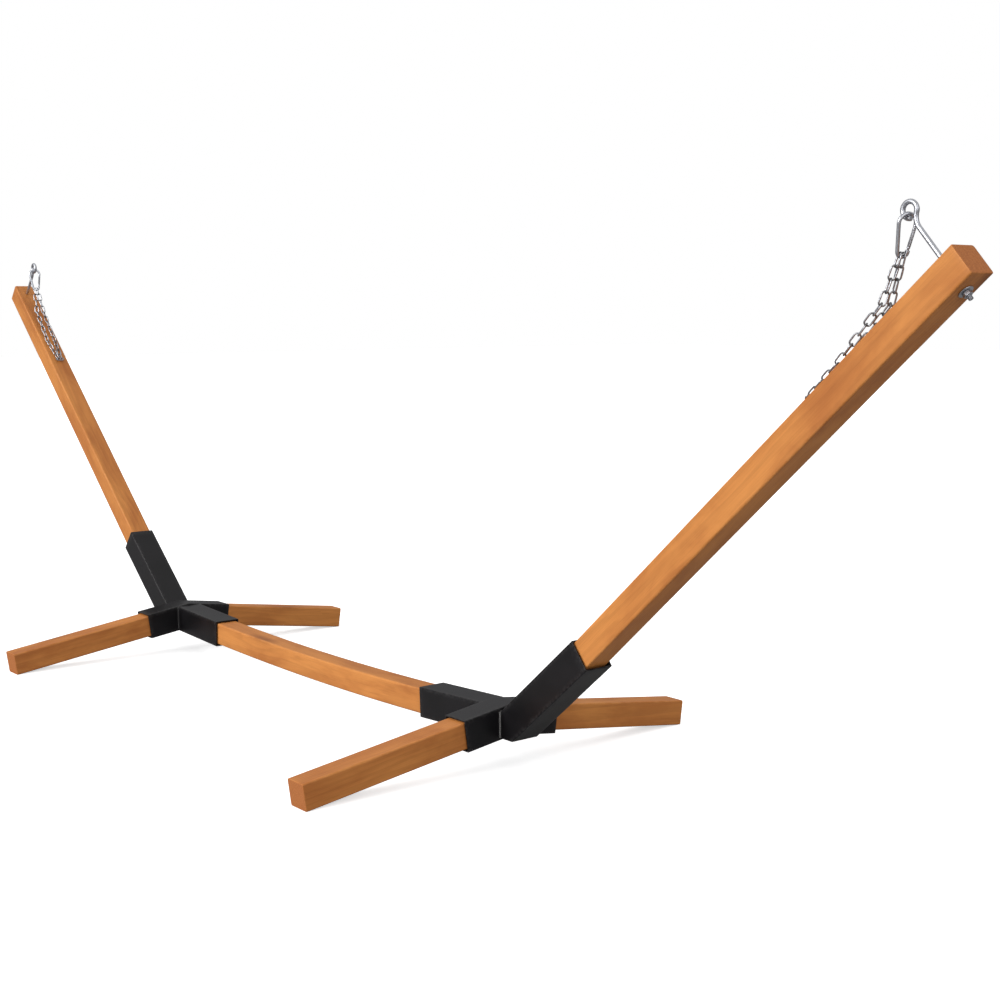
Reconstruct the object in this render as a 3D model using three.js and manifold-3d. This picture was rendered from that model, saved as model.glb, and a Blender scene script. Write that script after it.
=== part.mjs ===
// Wooden hammock stand: a bowed spine, two raked masts and four splayed feet of square timber, held in two
// welded steel brackets. Each mast carries an eye bolt, a snap hook and a doubled length of chain.
// Millimetres, +Z up, +X along the spine, origin on the ground under the middle of the stand.
import * as THREE from "three";
import { mergeVertices } from "three/addons/utils/BufferGeometryUtils.js";
import Module from "manifold-3d";

const radians = THREE.MathUtils.degToRad;

// ---- Driving dimensions -------------------------------------------------------------------------------
const NODE_HALF_SPAN = 700; // middle of the stand to the centre of each bracket
const TIMBER = 55; // side of the square timber
const ARRIS = 4; // radius of the timber's long edges

const FOOT_LENGTH = 490; // bracket centre to the end of a foot, along the foot
const FOOT_DROP = radians(8); // how far a foot slopes down
const FOOT_FLAT = 8; // length of the strip planed level where a foot stands

const MAST_ANGLE = radians(41.3); // above the horizontal
const MAST_LEAN = radians(1.5); // how much steeper it stands than its socket, as far as its play lets it
const MAST_OFFSET = 66.5; // bracket centre to the mast's axis, at the bracket's height
const MAST_TOP = 1342; // from there along the axis to the mast's end

const SPINE_SAG = 18.8; // the spine's middle below its ends
const SPINE_LOWER = 3; // the spine's axis below the feet's, at the bracket

const WALL = 3; // bracket steel
const PLAY = 2.5; // free space between a timber and its socket, each side
const SOCKET_CORNER = 2; // outer corner radius of a socket
const FOOT_SOCKET = 118; // socket lengths, from the bracket's centre
const SPINE_SOCKET = 244;
const MAST_SOCKET = 269; // mouth of the mast's socket, from the same point as the mast's end
const GAP = 0.3; // between pieces that touch
const END_GAP = 1; // past the inner end of a foot or of the spine

const BOLT = 8; // eye bolt rod
const BOLT_FROM_END = 37.5; // mast end to the bolt's shank
const EYE_HEIGHT = 100.5; // mast's inner face to the middle of the eye
const EYE_RADIUS = 12.5; // middle of the rod round the eye
const EYE_SHIFT = 4; // the eye's centre beside the shank, towards the mast's end
const NECK_RADIUS = 25; // bend between shank and eye
const EYE_END = radians(243); // where the rod ends, round the eye
const BOLT_STUB = 7; // rod left below the nut
const WASHER_RADIUS = 12;
const WASHER_THICKNESS = 2;
const NUT_WIDTH = 13; // across flats
const NUT_HEIGHT = 6.5;

const HOOK_WIRE = 6;
const HOOK_LENGTH = 70; // overall
const HOOK_WIDE = 14.5; // middle of the wire, at the wide end
const HOOK_NARROW = 8.5; // and at the narrow end
const HOOK_LEAN = radians(11); // the chain draws the hook inwards
const HOOK_TURN = radians(19); // about its own long axis
const GATE_WIRE = 5.4;
const GATE_TONGUE = 2.2; // thickness of the gate's tongue
const GATE_PIN = 2.2; // diameter of its pin
const GATE_SHOULDER = 2; // end of the hook's fork to the gate's shoulder
const NOSE_STEP = 2.5; // the wire's straight nose past the wide end

// A link grows with its wire, as in standard chain.
const LINK_WIRE = 3;
const LINK_PLAY = (LINK_WIRE * 8) / 15; // the hook's wire in a link's width, both sides together
const LINK_PITCH = (LINK_WIRE * 20) / 3; // inside length
const HANG_GAP = LINK_WIRE / 2 + 0.2; // slack where a link hangs on a curved or slanting wire
const HINGE_GAP = LINK_WIRE / 3; // and where one run of links hangs on the next
// The runs of a strand: how many links, how each spreads from the other strand's in degrees, and its share
// of the way down from the hook to the mast. The lower run lies along the mast and closes to STRAND_END.
const RUNS = [
  { name: "upper", links: 4, spread: 6.5, share: 0.7 },
  { name: "middle", links: 6, spread: 0.7, share: 0.3 },
  { name: "lower", links: 4, share: 0 },
];
const STRAND_END = 1.5 * LINK_WIRE; // mast's middle to a strand's last link
const STRAND_LINKS = RUNS.reduce((sum, run) => sum + run.links, 0);
// The first link of each strand, in front (-1) and behind (1), faces along the hook's curved wire. The
// strand twists evenly until its last link stands square to the mast, with the end link through it.
const ROLL_START = { "-1": radians(121), 1: radians(104) };
const ROLL_END = radians(180);
const BITE = 0.2; // overlap of neighbouring links within one run

const SCREW = 5; // shank of a timber screw
const SCREW_LENGTH = 34; // under the head
const SCREW_HEAD = 12;
const SCREW_HEAD_HEIGHT = 3.4;
const SCREW_FROM_MOUTH = 36; // from a socket's mouth

// ---- Derived sizes ------------------------------------------------------------------------------------
const HALF = TIMBER / 2;
const SOCKET = TIMBER + 2 * (PLAY + WALL);
const SHELL = SOCKET / 2; // bracket centre to its outer faces
const FLAT_CUT = FOOT_FLAT * Math.sin(FOOT_DROP) * Math.cos(FOOT_DROP);
const NODE_HEIGHT = FOOT_LENGTH * Math.sin(FOOT_DROP) + HALF * Math.cos(FOOT_DROP) - FLAT_CUT;
const SPINE_SLOPE = (2 * SPINE_SAG) / NODE_HALF_SPAN; // at its ends
const SPINE_END = SHELL + END_GAP + HALF * SPINE_SLOPE; // clear of the feet's sockets
const SLACK = PLAY - GAP; // how far a timber can shift in its socket
// The mast leans across its socket from the upper wall at the mouth to the lower wall at its own end, which
// also keeps clear of the feet's sockets and of the bracket's floor.
const MAST_START = Math.max(
  MAST_SOCKET - (2 * SLACK) / Math.tan(MAST_LEAN),
  (SHELL + 2 * GAP - MAST_OFFSET + HALF * Math.sin(MAST_ANGLE)) / Math.cos(MAST_ANGLE),
  (HALF * Math.cos(MAST_ANGLE) - SHELL + END_GAP) / Math.sin(MAST_ANGLE),
);
const BOLT_AT = MAST_TOP - BOLT_FROM_END;
const LINK_WIDTH = HOOK_WIRE + LINK_PLAY + 2 * LINK_WIRE; // overall
const STRAND_TOP = LINK_WIRE + GAP; // each strand beside the hook's middle
const FAR = 4000; // longer than any piece, for cutting

const STEEL = { color: 0x1c1c20, roughness: 0.55, metalness: 0.5 };
const WOOD = { color: 0xc9803f, roughness: 0.6, metalness: 0 };
const ZINC = { color: 0xb9bcc0, roughness: 0.3, metalness: 1 };

const wasm = await Module();
wasm.setup();

// ---- Solids -------------------------------------------------------------------------------------------
function toSolid(geometry) {
  const plain = new THREE.BufferGeometry();
  const flat = geometry.index ? geometry.toNonIndexed() : geometry;
  plain.setAttribute("position", flat.getAttribute("position").clone());
  const merged = mergeVertices(plain, 1e-4);
  const vertProperties = merged.getAttribute("position").array;
  const triVerts = new Uint32Array(merged.index.array);
  return new wasm.Manifold(new wasm.Mesh({ numProp: 3, vertProperties, triVerts }));
}

function toGeometry(solid) {
  const mesh = solid.getMesh();
  const geometry = new THREE.BufferGeometry();
  geometry.setAttribute("position", new THREE.BufferAttribute(mesh.vertProperties, 3));
  geometry.setIndex(new THREE.BufferAttribute(mesh.triVerts, 1));
  geometry.computeVertexNormals();
  return geometry;
}

function cut(geometry, ...cutters) {
  return toGeometry(cutters.reduce((solid, c) => solid.subtract(toSolid(c)), toSolid(geometry)));
}

function join(first, ...others) {
  return toGeometry(others.reduce((solid, o) => solid.add(toSolid(o)), toSolid(first)));
}

// A box by its lowest and highest corners.
function block(x0, x1, y0, y1, z0, z1) {
  const box = new THREE.BoxGeometry(x1 - x0, y1 - y0, z1 - z0);
  return box.translate((x0 + x1) / 2, (y0 + y1) / 2, (z0 + z1) / 2);
}

// A closed round outline of straight sides.
function roundOutline(radius, sides) {
  const turn = (2 * Math.PI) / sides;
  return new THREE.Shape(
    Array.from({ length: sides }, (_, i) => new THREE.Vector2(
      radius * Math.cos((i + 0.5) * turn),
      radius * Math.sin((i + 0.5) * turn),
    )),
  );
}

function squareOutline(side, corner) {
  const c = side / 2 - corner;
  const shape = new THREE.Shape();
  shape.absarc(c, c, corner, 0, Math.PI / 2);
  shape.absarc(-c, c, corner, Math.PI / 2, Math.PI);
  shape.absarc(-c, -c, corner, Math.PI, 1.5 * Math.PI);
  shape.absarc(c, -c, corner, 1.5 * Math.PI, 2 * Math.PI);
  shape.closePath();
  return shape;
}

// An outline carried along +X from start to end.
function bar(shape, start, end) {
  const options = { depth: end - start, bevelEnabled: false, curveSegments: 2 };
  return new THREE.ExtrudeGeometry(shape, options).rotateY(Math.PI / 2).translate(start, 0, 0);
}

const timber = (start, end) => bar(squareOutline(TIMBER, ARRIS), start, end);

function socket(start, end) {
  const shape = squareOutline(SOCKET, SOCKET_CORNER);
  shape.holes.push(squareOutline(SOCKET - 2 * WALL, 0.5));
  return bar(shape, start, end);
}

// A pin of the given sides along +Z from low to high.
function pin(radius, low, high, sides = 16) {
  const cylinder = new THREE.CylinderGeometry(radius, radius, high - low, sides);
  return cylinder.rotateX(Math.PI / 2).translate(0, 0, (low + high) / 2);
}

// Part of a circle in the XZ plane; the angle runs from +X towards +Z.
class Arc extends THREE.Curve {
  constructor(x, z, radius, from, to) {
    super();
    Object.assign(this, { x, z, radius, from, to });
  }
  getPoint(t, target = new THREE.Vector3()) {
    const angle = this.from + t * (this.to - this.from);
    return target.set(this.x + this.radius * Math.cos(angle), 0, this.z + this.radius * Math.sin(angle));
  }
}

function route(...curves) {
  const path = new THREE.CurvePath();
  curves.forEach((c) => path.add(c));
  return path;
}

const straight = (x0, z0, x1, z1) =>
  new THREE.LineCurve3(new THREE.Vector3(x0, 0, z0), new THREE.Vector3(x1, 0, z1));

function rod(path, diameter, sides, steps) {
  const options = { steps, extrudePath: path, bevelEnabled: false };
  return new THREE.ExtrudeGeometry(roundOutline(diameter / 2, sides), options);
}

function mesh(name, geometry, finish) {
  const made = new THREE.Mesh(geometry, new THREE.MeshStandardMaterial(finish));
  made.name = name;
  return made;
}

// A frame turned about Z and then tipped down about its own Y by an angle.
function frame(x, z, turn, drop) {
  const group = new THREE.Group();
  group.rotation.order = "ZYX";
  group.rotation.set(0, drop, turn);
  group.position.set(x, 0, z);
  group.updateMatrix();
  return group;
}

// Geometry given in the frame's parent, seen from inside the frame.
const seenFrom = (group, geometry) => geometry.applyMatrix4(group.matrix.clone().invert());

// ---- Screws -------------------------------------------------------------------------------------------
// Points up +Z, with the underside of its head at zero.
function screw() {
  const r = SCREW / 2;
  const head = SCREW_HEAD / 2;
  const profile = [
    [0, SCREW_LENGTH],
    [r, SCREW_LENGTH - 2 * r],
    [r, 0],
    [head, 0],
    [0.8 * head, -0.7 * SCREW_HEAD_HEIGHT],
    [0.4 * head, -SCREW_HEAD_HEIGHT],
    [0, -SCREW_HEAD_HEIGHT],
  ].map(([x, y]) => new THREE.Vector2(x, y));
  return new THREE.LatheGeometry(profile.reverse(), 12).rotateX(Math.PI / 2);
}

// Where a screw goes through a wall and into its timber, pointing up +Z.
const screwHole = () => pin(SCREW / 2 + GAP, -FAR / 100, SCREW_LENGTH + 2 * GAP, 12);

// Turns a piece that points up +Z to sit on a socket's face: 0 is the underside, +1 and -1 its sides.
function onFace(geometry, along, face) {
  return geometry
    .translate(0, 0, -SHELL - GAP)
    .rotateX((face * Math.PI) / 2)
    .translate(along, 0, 0);
}

// ---- Feet, spine and masts ------------------------------------------------------------------------------
function foot(name, direction) {
  const group = frame(0, 0, (direction * Math.PI) / 2, FOOT_DROP);
  const screwAt = FOOT_SOCKET - SCREW_FROM_MOUTH;
  const start = (END_GAP / 2 + HALF * Math.sin(FOOT_DROP)) / Math.cos(FOOT_DROP);
  const ground = seenFrom(group, block(-FAR, FAR, -FAR, FAR, -FAR, -NODE_HEIGHT));
  const wood = cut(timber(start, FOOT_LENGTH), ground, onFace(screwHole(), screwAt, 0));
  const otherHalf = seenFrom(
    group,
    block(-FAR, FAR, direction > 0 ? -FAR : -GAP / 2, direction > 0 ? GAP / 2 : FAR, -FAR, FAR),
  );
  const steel = cut(socket(-SHELL, FOOT_SOCKET), otherHalf, onFace(screwHole(), screwAt, 0));
  group.add(
    mesh(`foot_${name}`, wood, WOOD),
    mesh(`foot_socket_${name}`, steel, STEEL),
    mesh(`foot_screw_${name}`, onFace(screw(), screwAt, 0), ZINC),
  );
  return group;
}

// The spine is an arc of one radius; its sag sets that radius.
const SPINE_RADIUS = (NODE_HALF_SPAN ** 2 + SPINE_SAG ** 2) / (2 * SPINE_SAG);
const spineHeight = (x) => SPINE_RADIUS - SPINE_SAG - Math.sqrt(SPINE_RADIUS ** 2 - x ** 2);

// Each spine socket lies along the arc's chord from its start to its mouth.
const SOCKET_SLOPE = Math.atan2(
  spineHeight(NODE_HALF_SPAN - SPINE_END) - spineHeight(NODE_HALF_SPAN - SPINE_SOCKET),
  SPINE_SOCKET - SPINE_END,
);
const SPINE_SCREW_AT = SPINE_SOCKET - SCREW_FROM_MOUTH;

function spineSocketFrame() {
  const drop = -SPINE_LOWER + spineHeight(NODE_HALF_SPAN - SPINE_END) + SPINE_END * Math.tan(SOCKET_SLOPE);
  return frame(0, drop, Math.PI, SOCKET_SLOPE);
}

function spineSocket(name) {
  const group = spineSocketFrame();
  const beyond = seenFrom(group, block(-SHELL - GAP, FAR, -FAR, FAR, -FAR, FAR));
  const steel = cut(socket(0, SPINE_SOCKET), beyond, onFace(screwHole(), SPINE_SCREW_AT, 0));
  group.add(
    mesh(`spine_socket_${name}`, steel, STEEL),
    mesh(`spine_screw_${name}`, onFace(screw(), SPINE_SCREW_AT, 0), ZINC),
  );
  return group;
}

function spine() {
  const half = Math.asin((NODE_HALF_SPAN - SPINE_END) / SPINE_RADIUS);
  const top = NODE_HEIGHT - SPINE_LOWER + SPINE_RADIUS - SPINE_SAG;
  const arc = new Arc(0, top, SPINE_RADIUS, -Math.PI / 2 - half, -Math.PI / 2 + half);
  const options = { steps: 16, extrudePath: arc, bevelEnabled: false, curveSegments: 2 };
  const wood = new THREE.ExtrudeGeometry(squareOutline(TIMBER, ARRIS), options);
  const holes = [0, Math.PI].map((turn) => {
    const hole = onFace(screwHole(), SPINE_SCREW_AT, 0).applyMatrix4(spineSocketFrame().matrix);
    return hole.translate(NODE_HALF_SPAN, 0, NODE_HEIGHT).rotateZ(turn);
  });
  return mesh("spine", cut(wood, ...holes), WOOD);
}

// The mast's frame has +X along the mast and +Z out of its inner face; its socket's starts at the mouth.
const mastFrame = () => frame(MAST_OFFSET, 0, 0, -MAST_ANGLE);

function mastSocketFrame() {
  const mouth = new THREE.Vector3(MAST_SOCKET, 0, -SLACK).applyMatrix4(mastFrame().matrix);
  return frame(mouth.x, mouth.z, 0, MAST_LEAN - MAST_ANGLE);
}

function mast(name, side) {
  const group = mastFrame();
  const boltHole = pin(BOLT / 2 + GAP, -TIMBER, TIMBER).translate(BOLT_AT, 0, 0);
  const hole = onFace(screwHole(), -SCREW_FROM_MOUTH, side).applyMatrix4(mastSocketFrame().matrix);
  const wood = cut(timber(MAST_START, MAST_TOP), boltHole, seenFrom(group, hole));
  group.add(mesh(`mast_${name}`, wood, WOOD), ...eyeBolt(name));
  return group;
}

function mastSocket(name, side) {
  const group = mastSocketFrame();
  const steel = cut(
    socket(-2 * MAST_SOCKET, 0),
    seenFrom(group, block(-FAR, SHELL + GAP, -FAR, FAR, -FAR, FAR)),
    seenFrom(group, block(-FAR, FAR, -FAR, FAR, -FAR, -SHELL)),
    onFace(screwHole(), -SCREW_FROM_MOUTH, side),
  );
  group.add(
    mesh(`mast_socket_${name}`, steel, STEEL),
    mesh(`mast_screw_${name}`, onFace(screw(), -SCREW_FROM_MOUTH, side), ZINC),
  );
  return group;
}

// ---- Eye bolt -----------------------------------------------------------------------------------------
const EYE = { x: BOLT_AT + EYE_SHIFT, z: HALF + EYE_HEIGHT };
const EYE_IN_BRACKET = new THREE.Vector3(EYE.x, 0, EYE.z).applyMatrix4(mastFrame().matrix);

function eyeBolt(name) {
  const reach = NECK_RADIUS + EYE_RADIUS;
  const rise = Math.sqrt(reach ** 2 - (NECK_RADIUS - EYE_SHIFT) ** 2);
  const meet = Math.atan2(-rise, NECK_RADIUS - EYE_SHIFT); // from the eye's centre to the neck's
  const low = -HALF - WASHER_THICKNESS - NUT_HEIGHT - 2 * GAP - BOLT_STUB;
  const path = route(
    straight(BOLT_AT, low, BOLT_AT, EYE.z - rise),
    new Arc(BOLT_AT + NECK_RADIUS, EYE.z - rise, NECK_RADIUS, Math.PI, Math.PI + meet),
    new Arc(EYE.x, EYE.z, EYE_RADIUS, meet, EYE_END),
  );
  const hole = roundOutline(BOLT / 2 + GAP, 16);
  const washer = roundOutline(WASHER_RADIUS, 20);
  washer.holes.push(hole);
  const nut = roundOutline(NUT_WIDTH / Math.sqrt(3), 6);
  nut.holes.push(hole);
  const washerTop = -HALF - GAP;
  const nutTop = washerTop - WASHER_THICKNESS - GAP;
  const plate = (shape, thickness, top) =>
    new THREE.ExtrudeGeometry(shape, { depth: thickness, bevelEnabled: false })
      .translate(BOLT_AT, 0, top - thickness);
  return [
    mesh(`eye_bolt_${name}`, rod(path, BOLT, 8, 46), ZINC),
    mesh(`bolt_washer_${name}`, plate(washer, WASHER_THICKNESS, washerTop), ZINC),
    mesh(`bolt_nut_${name}`, plate(nut, NUT_HEIGHT, nutTop), ZINC),
  ];
}

// ---- Snap hook ----------------------------------------------------------------------------------------
// In its own frame: origin at the eye's centre, -Z along the hook, +X across its opening on the gate's side.
const HOOK_TOP = -(EYE_RADIUS - BOLT / 2 - HOOK_WIRE / 2 - GAP);
const HOOK_WIDE_AT = HOOK_TOP - HOOK_WIDE;
const HOOK_NARROW_AT = HOOK_WIDE_AT - (HOOK_LENGTH - HOOK_WIDE - HOOK_NARROW - HOOK_WIRE);
const HOOK_END = HOOK_NARROW_AT - HOOK_NARROW;
const HOOK_TAPER = Math.asin((HOOK_WIDE - HOOK_NARROW) / (HOOK_WIDE_AT - HOOK_NARROW_AT));

// A point on the gate's side: distance up from the narrow end's tangent point, and inwards from the wire.
function gateLine(up, inwards = 0) {
  const r = HOOK_NARROW - inwards;
  return new THREE.Vector2(
    r * Math.cos(HOOK_TAPER) + up * Math.sin(HOOK_TAPER),
    HOOK_NARROW_AT - r * Math.sin(HOOK_TAPER) + up * Math.cos(HOOK_TAPER),
  );
}
const GATE_SPAN = (HOOK_WIDE_AT - HOOK_NARROW_AT) * Math.cos(HOOK_TAPER);
const FORK_END = 3.5; // the hook's forked end above the tangent point
const PIN_UP = 0.8; // the gate's pin above the tangent point

// A flat piece in the hook's plane along the gate's line.
function gateSlab(low, high, width, thickness) {
  const slab = new THREE.BoxGeometry(width, thickness, high - low);
  const middle = gateLine((low + high) / 2);
  return slab.rotateY(HOOK_TAPER).translate(middle.x, 0, middle.y);
}

const gatePin = (radius, length) => {
  const at = gateLine(PIN_UP);
  return pin(radius, -length / 2, length / 2, 10).rotateX(Math.PI / 2).translate(at.x, 0, at.y);
};

function hookBody() {
  const fork = gateLine(FORK_END);
  const tangent = gateLine(0);
  const wide = gateLine(GATE_SPAN);
  const nose = gateLine(GATE_SPAN - NOSE_STEP);
  const low = -HOOK_TAPER;
  const path = route(
    straight(nose.x, nose.y, wide.x, wide.y),
    new Arc(0, HOOK_WIDE_AT, HOOK_WIDE, low, Math.PI - low),
    straight(-wide.x, wide.y, -tangent.x, tangent.y),
    new Arc(0, HOOK_NARROW_AT, HOOK_NARROW, Math.PI - low, 2 * Math.PI + low),
    straight(tangent.x, tangent.y, fork.x, fork.y),
  );
  return cut(
    rod(path, HOOK_WIRE, 8, 42),
    gateSlab(-HOOK_WIRE / 2, FORK_END + 1, 2 * HOOK_WIRE, GATE_TONGUE + 2 * GAP),
    gatePin(GATE_PIN / 2 + GAP, 2 * HOOK_WIRE),
  );
}

function hookGate() {
  const foot = gateLine(FORK_END + GATE_SHOULDER);
  const tip = gateLine(GATE_SPAN - NOSE_STEP - GAP);
  const bar = rod(route(straight(foot.x, foot.y, tip.x, tip.y)), GATE_WIRE, 8, 1);
  const tongue = gateSlab(PIN_UP - GATE_PIN, FORK_END + 2 * GATE_SHOULDER, 2 * GATE_PIN, GATE_TONGUE);
  return cut(join(bar, tongue), gatePin(GATE_PIN / 2 + GAP, 2 * HOOK_WIRE));
}

// ---- Chain --------------------------------------------------------------------------------------------
// A link lying in the XY plane, long along X: a ring whose two halves are drawn apart.
function link() {
  const radius = (LINK_WIDTH - LINK_WIRE) / 2;
  const spread = (LINK_PITCH + LINK_WIRE) / 2 - radius;
  const segments = 10;
  const ring = new THREE.TorusGeometry(radius, LINK_WIRE / 2, 6, segments).rotateZ(Math.PI / segments);
  const at = ring.getAttribute("position");
  for (let i = 0; i < at.count; i += 1) {
    at.setX(i, at.getX(i) + Math.sign(at.getX(i)) * spread);
  }
  return ring;
}

// Links that follow each other along +X, each turned a quarter and the twist from the last. Within a run
// they bite a little, so that the run is one piece.
function chainRun(run, side) {
  const twist = (ROLL_END - ROLL_START[side]) / (STRAND_LINKS - 1);
  const before = RUNS.slice(0, run).reduce((sum, { links }) => sum + links, 0);
  const links = Array.from({ length: RUNS[run].links }, (_, i) => {
    const count = before + i;
    const roll = ROLL_START[side] + count * (Math.PI / 2 + twist);
    return link().rotateX(roll).translate(firstLink(run) + i * (LINK_PITCH + BITE), 0, 0);
  });
  return join(...links);
}

// The first link's middle past its hinge: round the hook's wire, or round the end of the run before.
const firstLink = (run) =>
  run === 0 ? LINK_PITCH / 2 - HOOK_WIRE / 2 - HANG_GAP : (LINK_PITCH + LINK_WIRE) / 2;
const runLength = (run) =>
  firstLink(run) +
  (RUNS[run].links - 1) * (LINK_PITCH + BITE) +
  (LINK_PITCH - LINK_WIRE) / 2 -
  HINGE_GAP;

// A strand's pieces follow each other from the hook down to the mast's face, and then along it.
function strand(start, name, side, label) {
  const along = new THREE.Vector3();
  const at = start.clone();
  const fall = start.z - HALF - LINK_WIDTH / 2 - HINGE_GAP;
  const pieces = RUNS.map((run, i) => {
    const slope = Math.asin((run.share * fall) / runLength(i));
    const closing = (STRAND_END - Math.abs(at.y)) / (runLength(i) * Math.cos(slope));
    const spread = run.name === "lower" ? Math.asin(closing) : radians(run.spread);
    const piece = frame(at.x, at.z, Math.PI - side * spread, slope);
    piece.position.y = at.y;
    piece.add(mesh(`chain_${run.name}_${label}_${name}`, chainRun(i, side), ZINC));
    at.addScaledVector(along.set(1, 0, 0).applyEuler(piece.rotation), runLength(i));
    return piece;
  });
  return { pieces, end: at };
}

// The last link lies across both strands and joins their ends.
function endLink(name, front, back) {
  const holder = frame(0, 0, Math.PI, 0);
  holder.position.addVectors(front.end, back.end).divideScalar(2);
  const across = link().rotateZ(Math.PI / 2).translate((LINK_WIDTH - LINK_WIRE) / 2 - HANG_GAP, 0, 0);
  holder.add(mesh(`chain_end_link_${name}`, across, ZINC));
  return holder;
}

// ---- Each side ----------------------------------------------------------------------------------------
// Everything on one mast's end, in the bracket's frame; the gate faces the back of the stand.
function hanging(name, side) {
  const hook = new THREE.Group();
  hook.position.copy(EYE_IN_BRACKET);
  hook.rotation.order = "YXZ";
  hook.rotation.set(0, HOOK_LEAN, side * (Math.PI / 2) - HOOK_TURN);
  hook.add(
    mesh(`snap_hook_${name}`, hookBody(), ZINC),
    mesh(`snap_gate_${name}`, hookGate(), ZINC),
    mesh(`gate_pin_${name}`, gatePin(GATE_PIN / 2, HOOK_WIRE), ZINC),
  );
  hook.updateMatrix();
  const holder = mastFrame();
  const sag = HOOK_NARROW - Math.sqrt(HOOK_NARROW ** 2 - STRAND_TOP ** 2);
  const strands = [-1, 1].map((y) => {
    const start = new THREE.Vector3(y * side * STRAND_TOP, 0, HOOK_END + sag)
      .applyMatrix4(hook.matrix)
      .applyMatrix4(holder.matrix.clone().invert());
    const made = strand(start, name, y, y * side < 0 ? "front" : "back");
    holder.add(...made.pieces);
    return made;
  });
  holder.add(endLink(name, ...strands));
  return [hook, holder];
}

// The left side is the right one turned half round, with the gate and the mast's screw still behind.
function endOfStand(name, side) {
  const group = new THREE.Group();
  group.position.set(side * NODE_HALF_SPAN, 0, NODE_HEIGHT);
  group.rotation.z = side > 0 ? 0 : Math.PI;
  group.add(
    foot(`front_${name}`, -side),
    foot(`back_${name}`, side),
    spineSocket(name),
    mast(name, side),
    mastSocket(name, side),
    ...hanging(name, side),
  );
  return group;
}

const stand = new THREE.Group();
stand.name = "hammock_stand";
stand.add(spine(), endOfStand("right", 1), endOfStand("left", -1));

export default stand;
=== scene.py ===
"""The look of a timber hammock stand: stained posts in black steel brackets, zinc hardware and chain.

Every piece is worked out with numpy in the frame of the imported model: metres, +Z up, +X along the spine,
the origin on the ground under the middle of the stand. The right-hand side is made first in the frame of
its bracket, and the left-hand side is the same turned half round.
"""

import math

import bmesh
import bpy
import numpy as np
from bpy.props import FloatProperty, FloatVectorProperty, IntProperty, PointerProperty
from mathutils import Matrix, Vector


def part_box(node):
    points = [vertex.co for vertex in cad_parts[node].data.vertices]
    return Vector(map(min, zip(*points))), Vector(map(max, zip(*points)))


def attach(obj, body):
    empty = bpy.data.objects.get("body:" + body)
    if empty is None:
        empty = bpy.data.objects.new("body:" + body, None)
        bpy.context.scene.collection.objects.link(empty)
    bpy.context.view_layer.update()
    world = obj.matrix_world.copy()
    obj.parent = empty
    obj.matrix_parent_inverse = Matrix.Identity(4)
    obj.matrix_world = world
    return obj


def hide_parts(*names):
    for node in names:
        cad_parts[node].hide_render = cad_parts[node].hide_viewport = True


bl_info = {
    "name": "Hammock Stand",
    "version": (1, 0, 0),
    "blender": (4, 5, 0),
    "location": "View3D > Sidebar > Stand",
    "description": "Builds a timber hammock stand with its brackets, hooks and chains",
    "category": "Object",
}

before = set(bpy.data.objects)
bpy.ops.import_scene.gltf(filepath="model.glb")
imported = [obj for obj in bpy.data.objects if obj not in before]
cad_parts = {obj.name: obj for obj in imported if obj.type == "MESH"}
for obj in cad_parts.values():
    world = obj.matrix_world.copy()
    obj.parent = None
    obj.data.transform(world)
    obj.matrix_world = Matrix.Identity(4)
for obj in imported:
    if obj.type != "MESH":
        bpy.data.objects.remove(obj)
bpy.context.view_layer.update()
MM = 0.001
SIDES = {"right": 1, "left": -1}


def middle_and_width(node, axis):
    """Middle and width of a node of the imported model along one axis."""
    low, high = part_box(node)
    return (low[axis] + high[axis]) / 2, high[axis] - low[axis]


HALF_SPAN, TIMBER_SIDE = middle_and_width("foot_front_right", 0)


# ---- Sizes and colours ---------------------------------------------------------------------------
def length(name, description, default):
    """A length property in metres."""
    return FloatProperty(
        name=name, description=description, default=default, min=0, unit="LENGTH", precision=5
    )


def angle(name, description, degrees):
    """An angle property, given in degrees and kept in radians."""
    return FloatProperty(
        name=name, description=description, default=math.radians(degrees), subtype="ANGLE"
    )


def colour(name, description, default):
    """A linear colour property."""
    return FloatVectorProperty(
        name=name, description=description, default=default, size=3, min=0, max=1, subtype="COLOR"
    )


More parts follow.
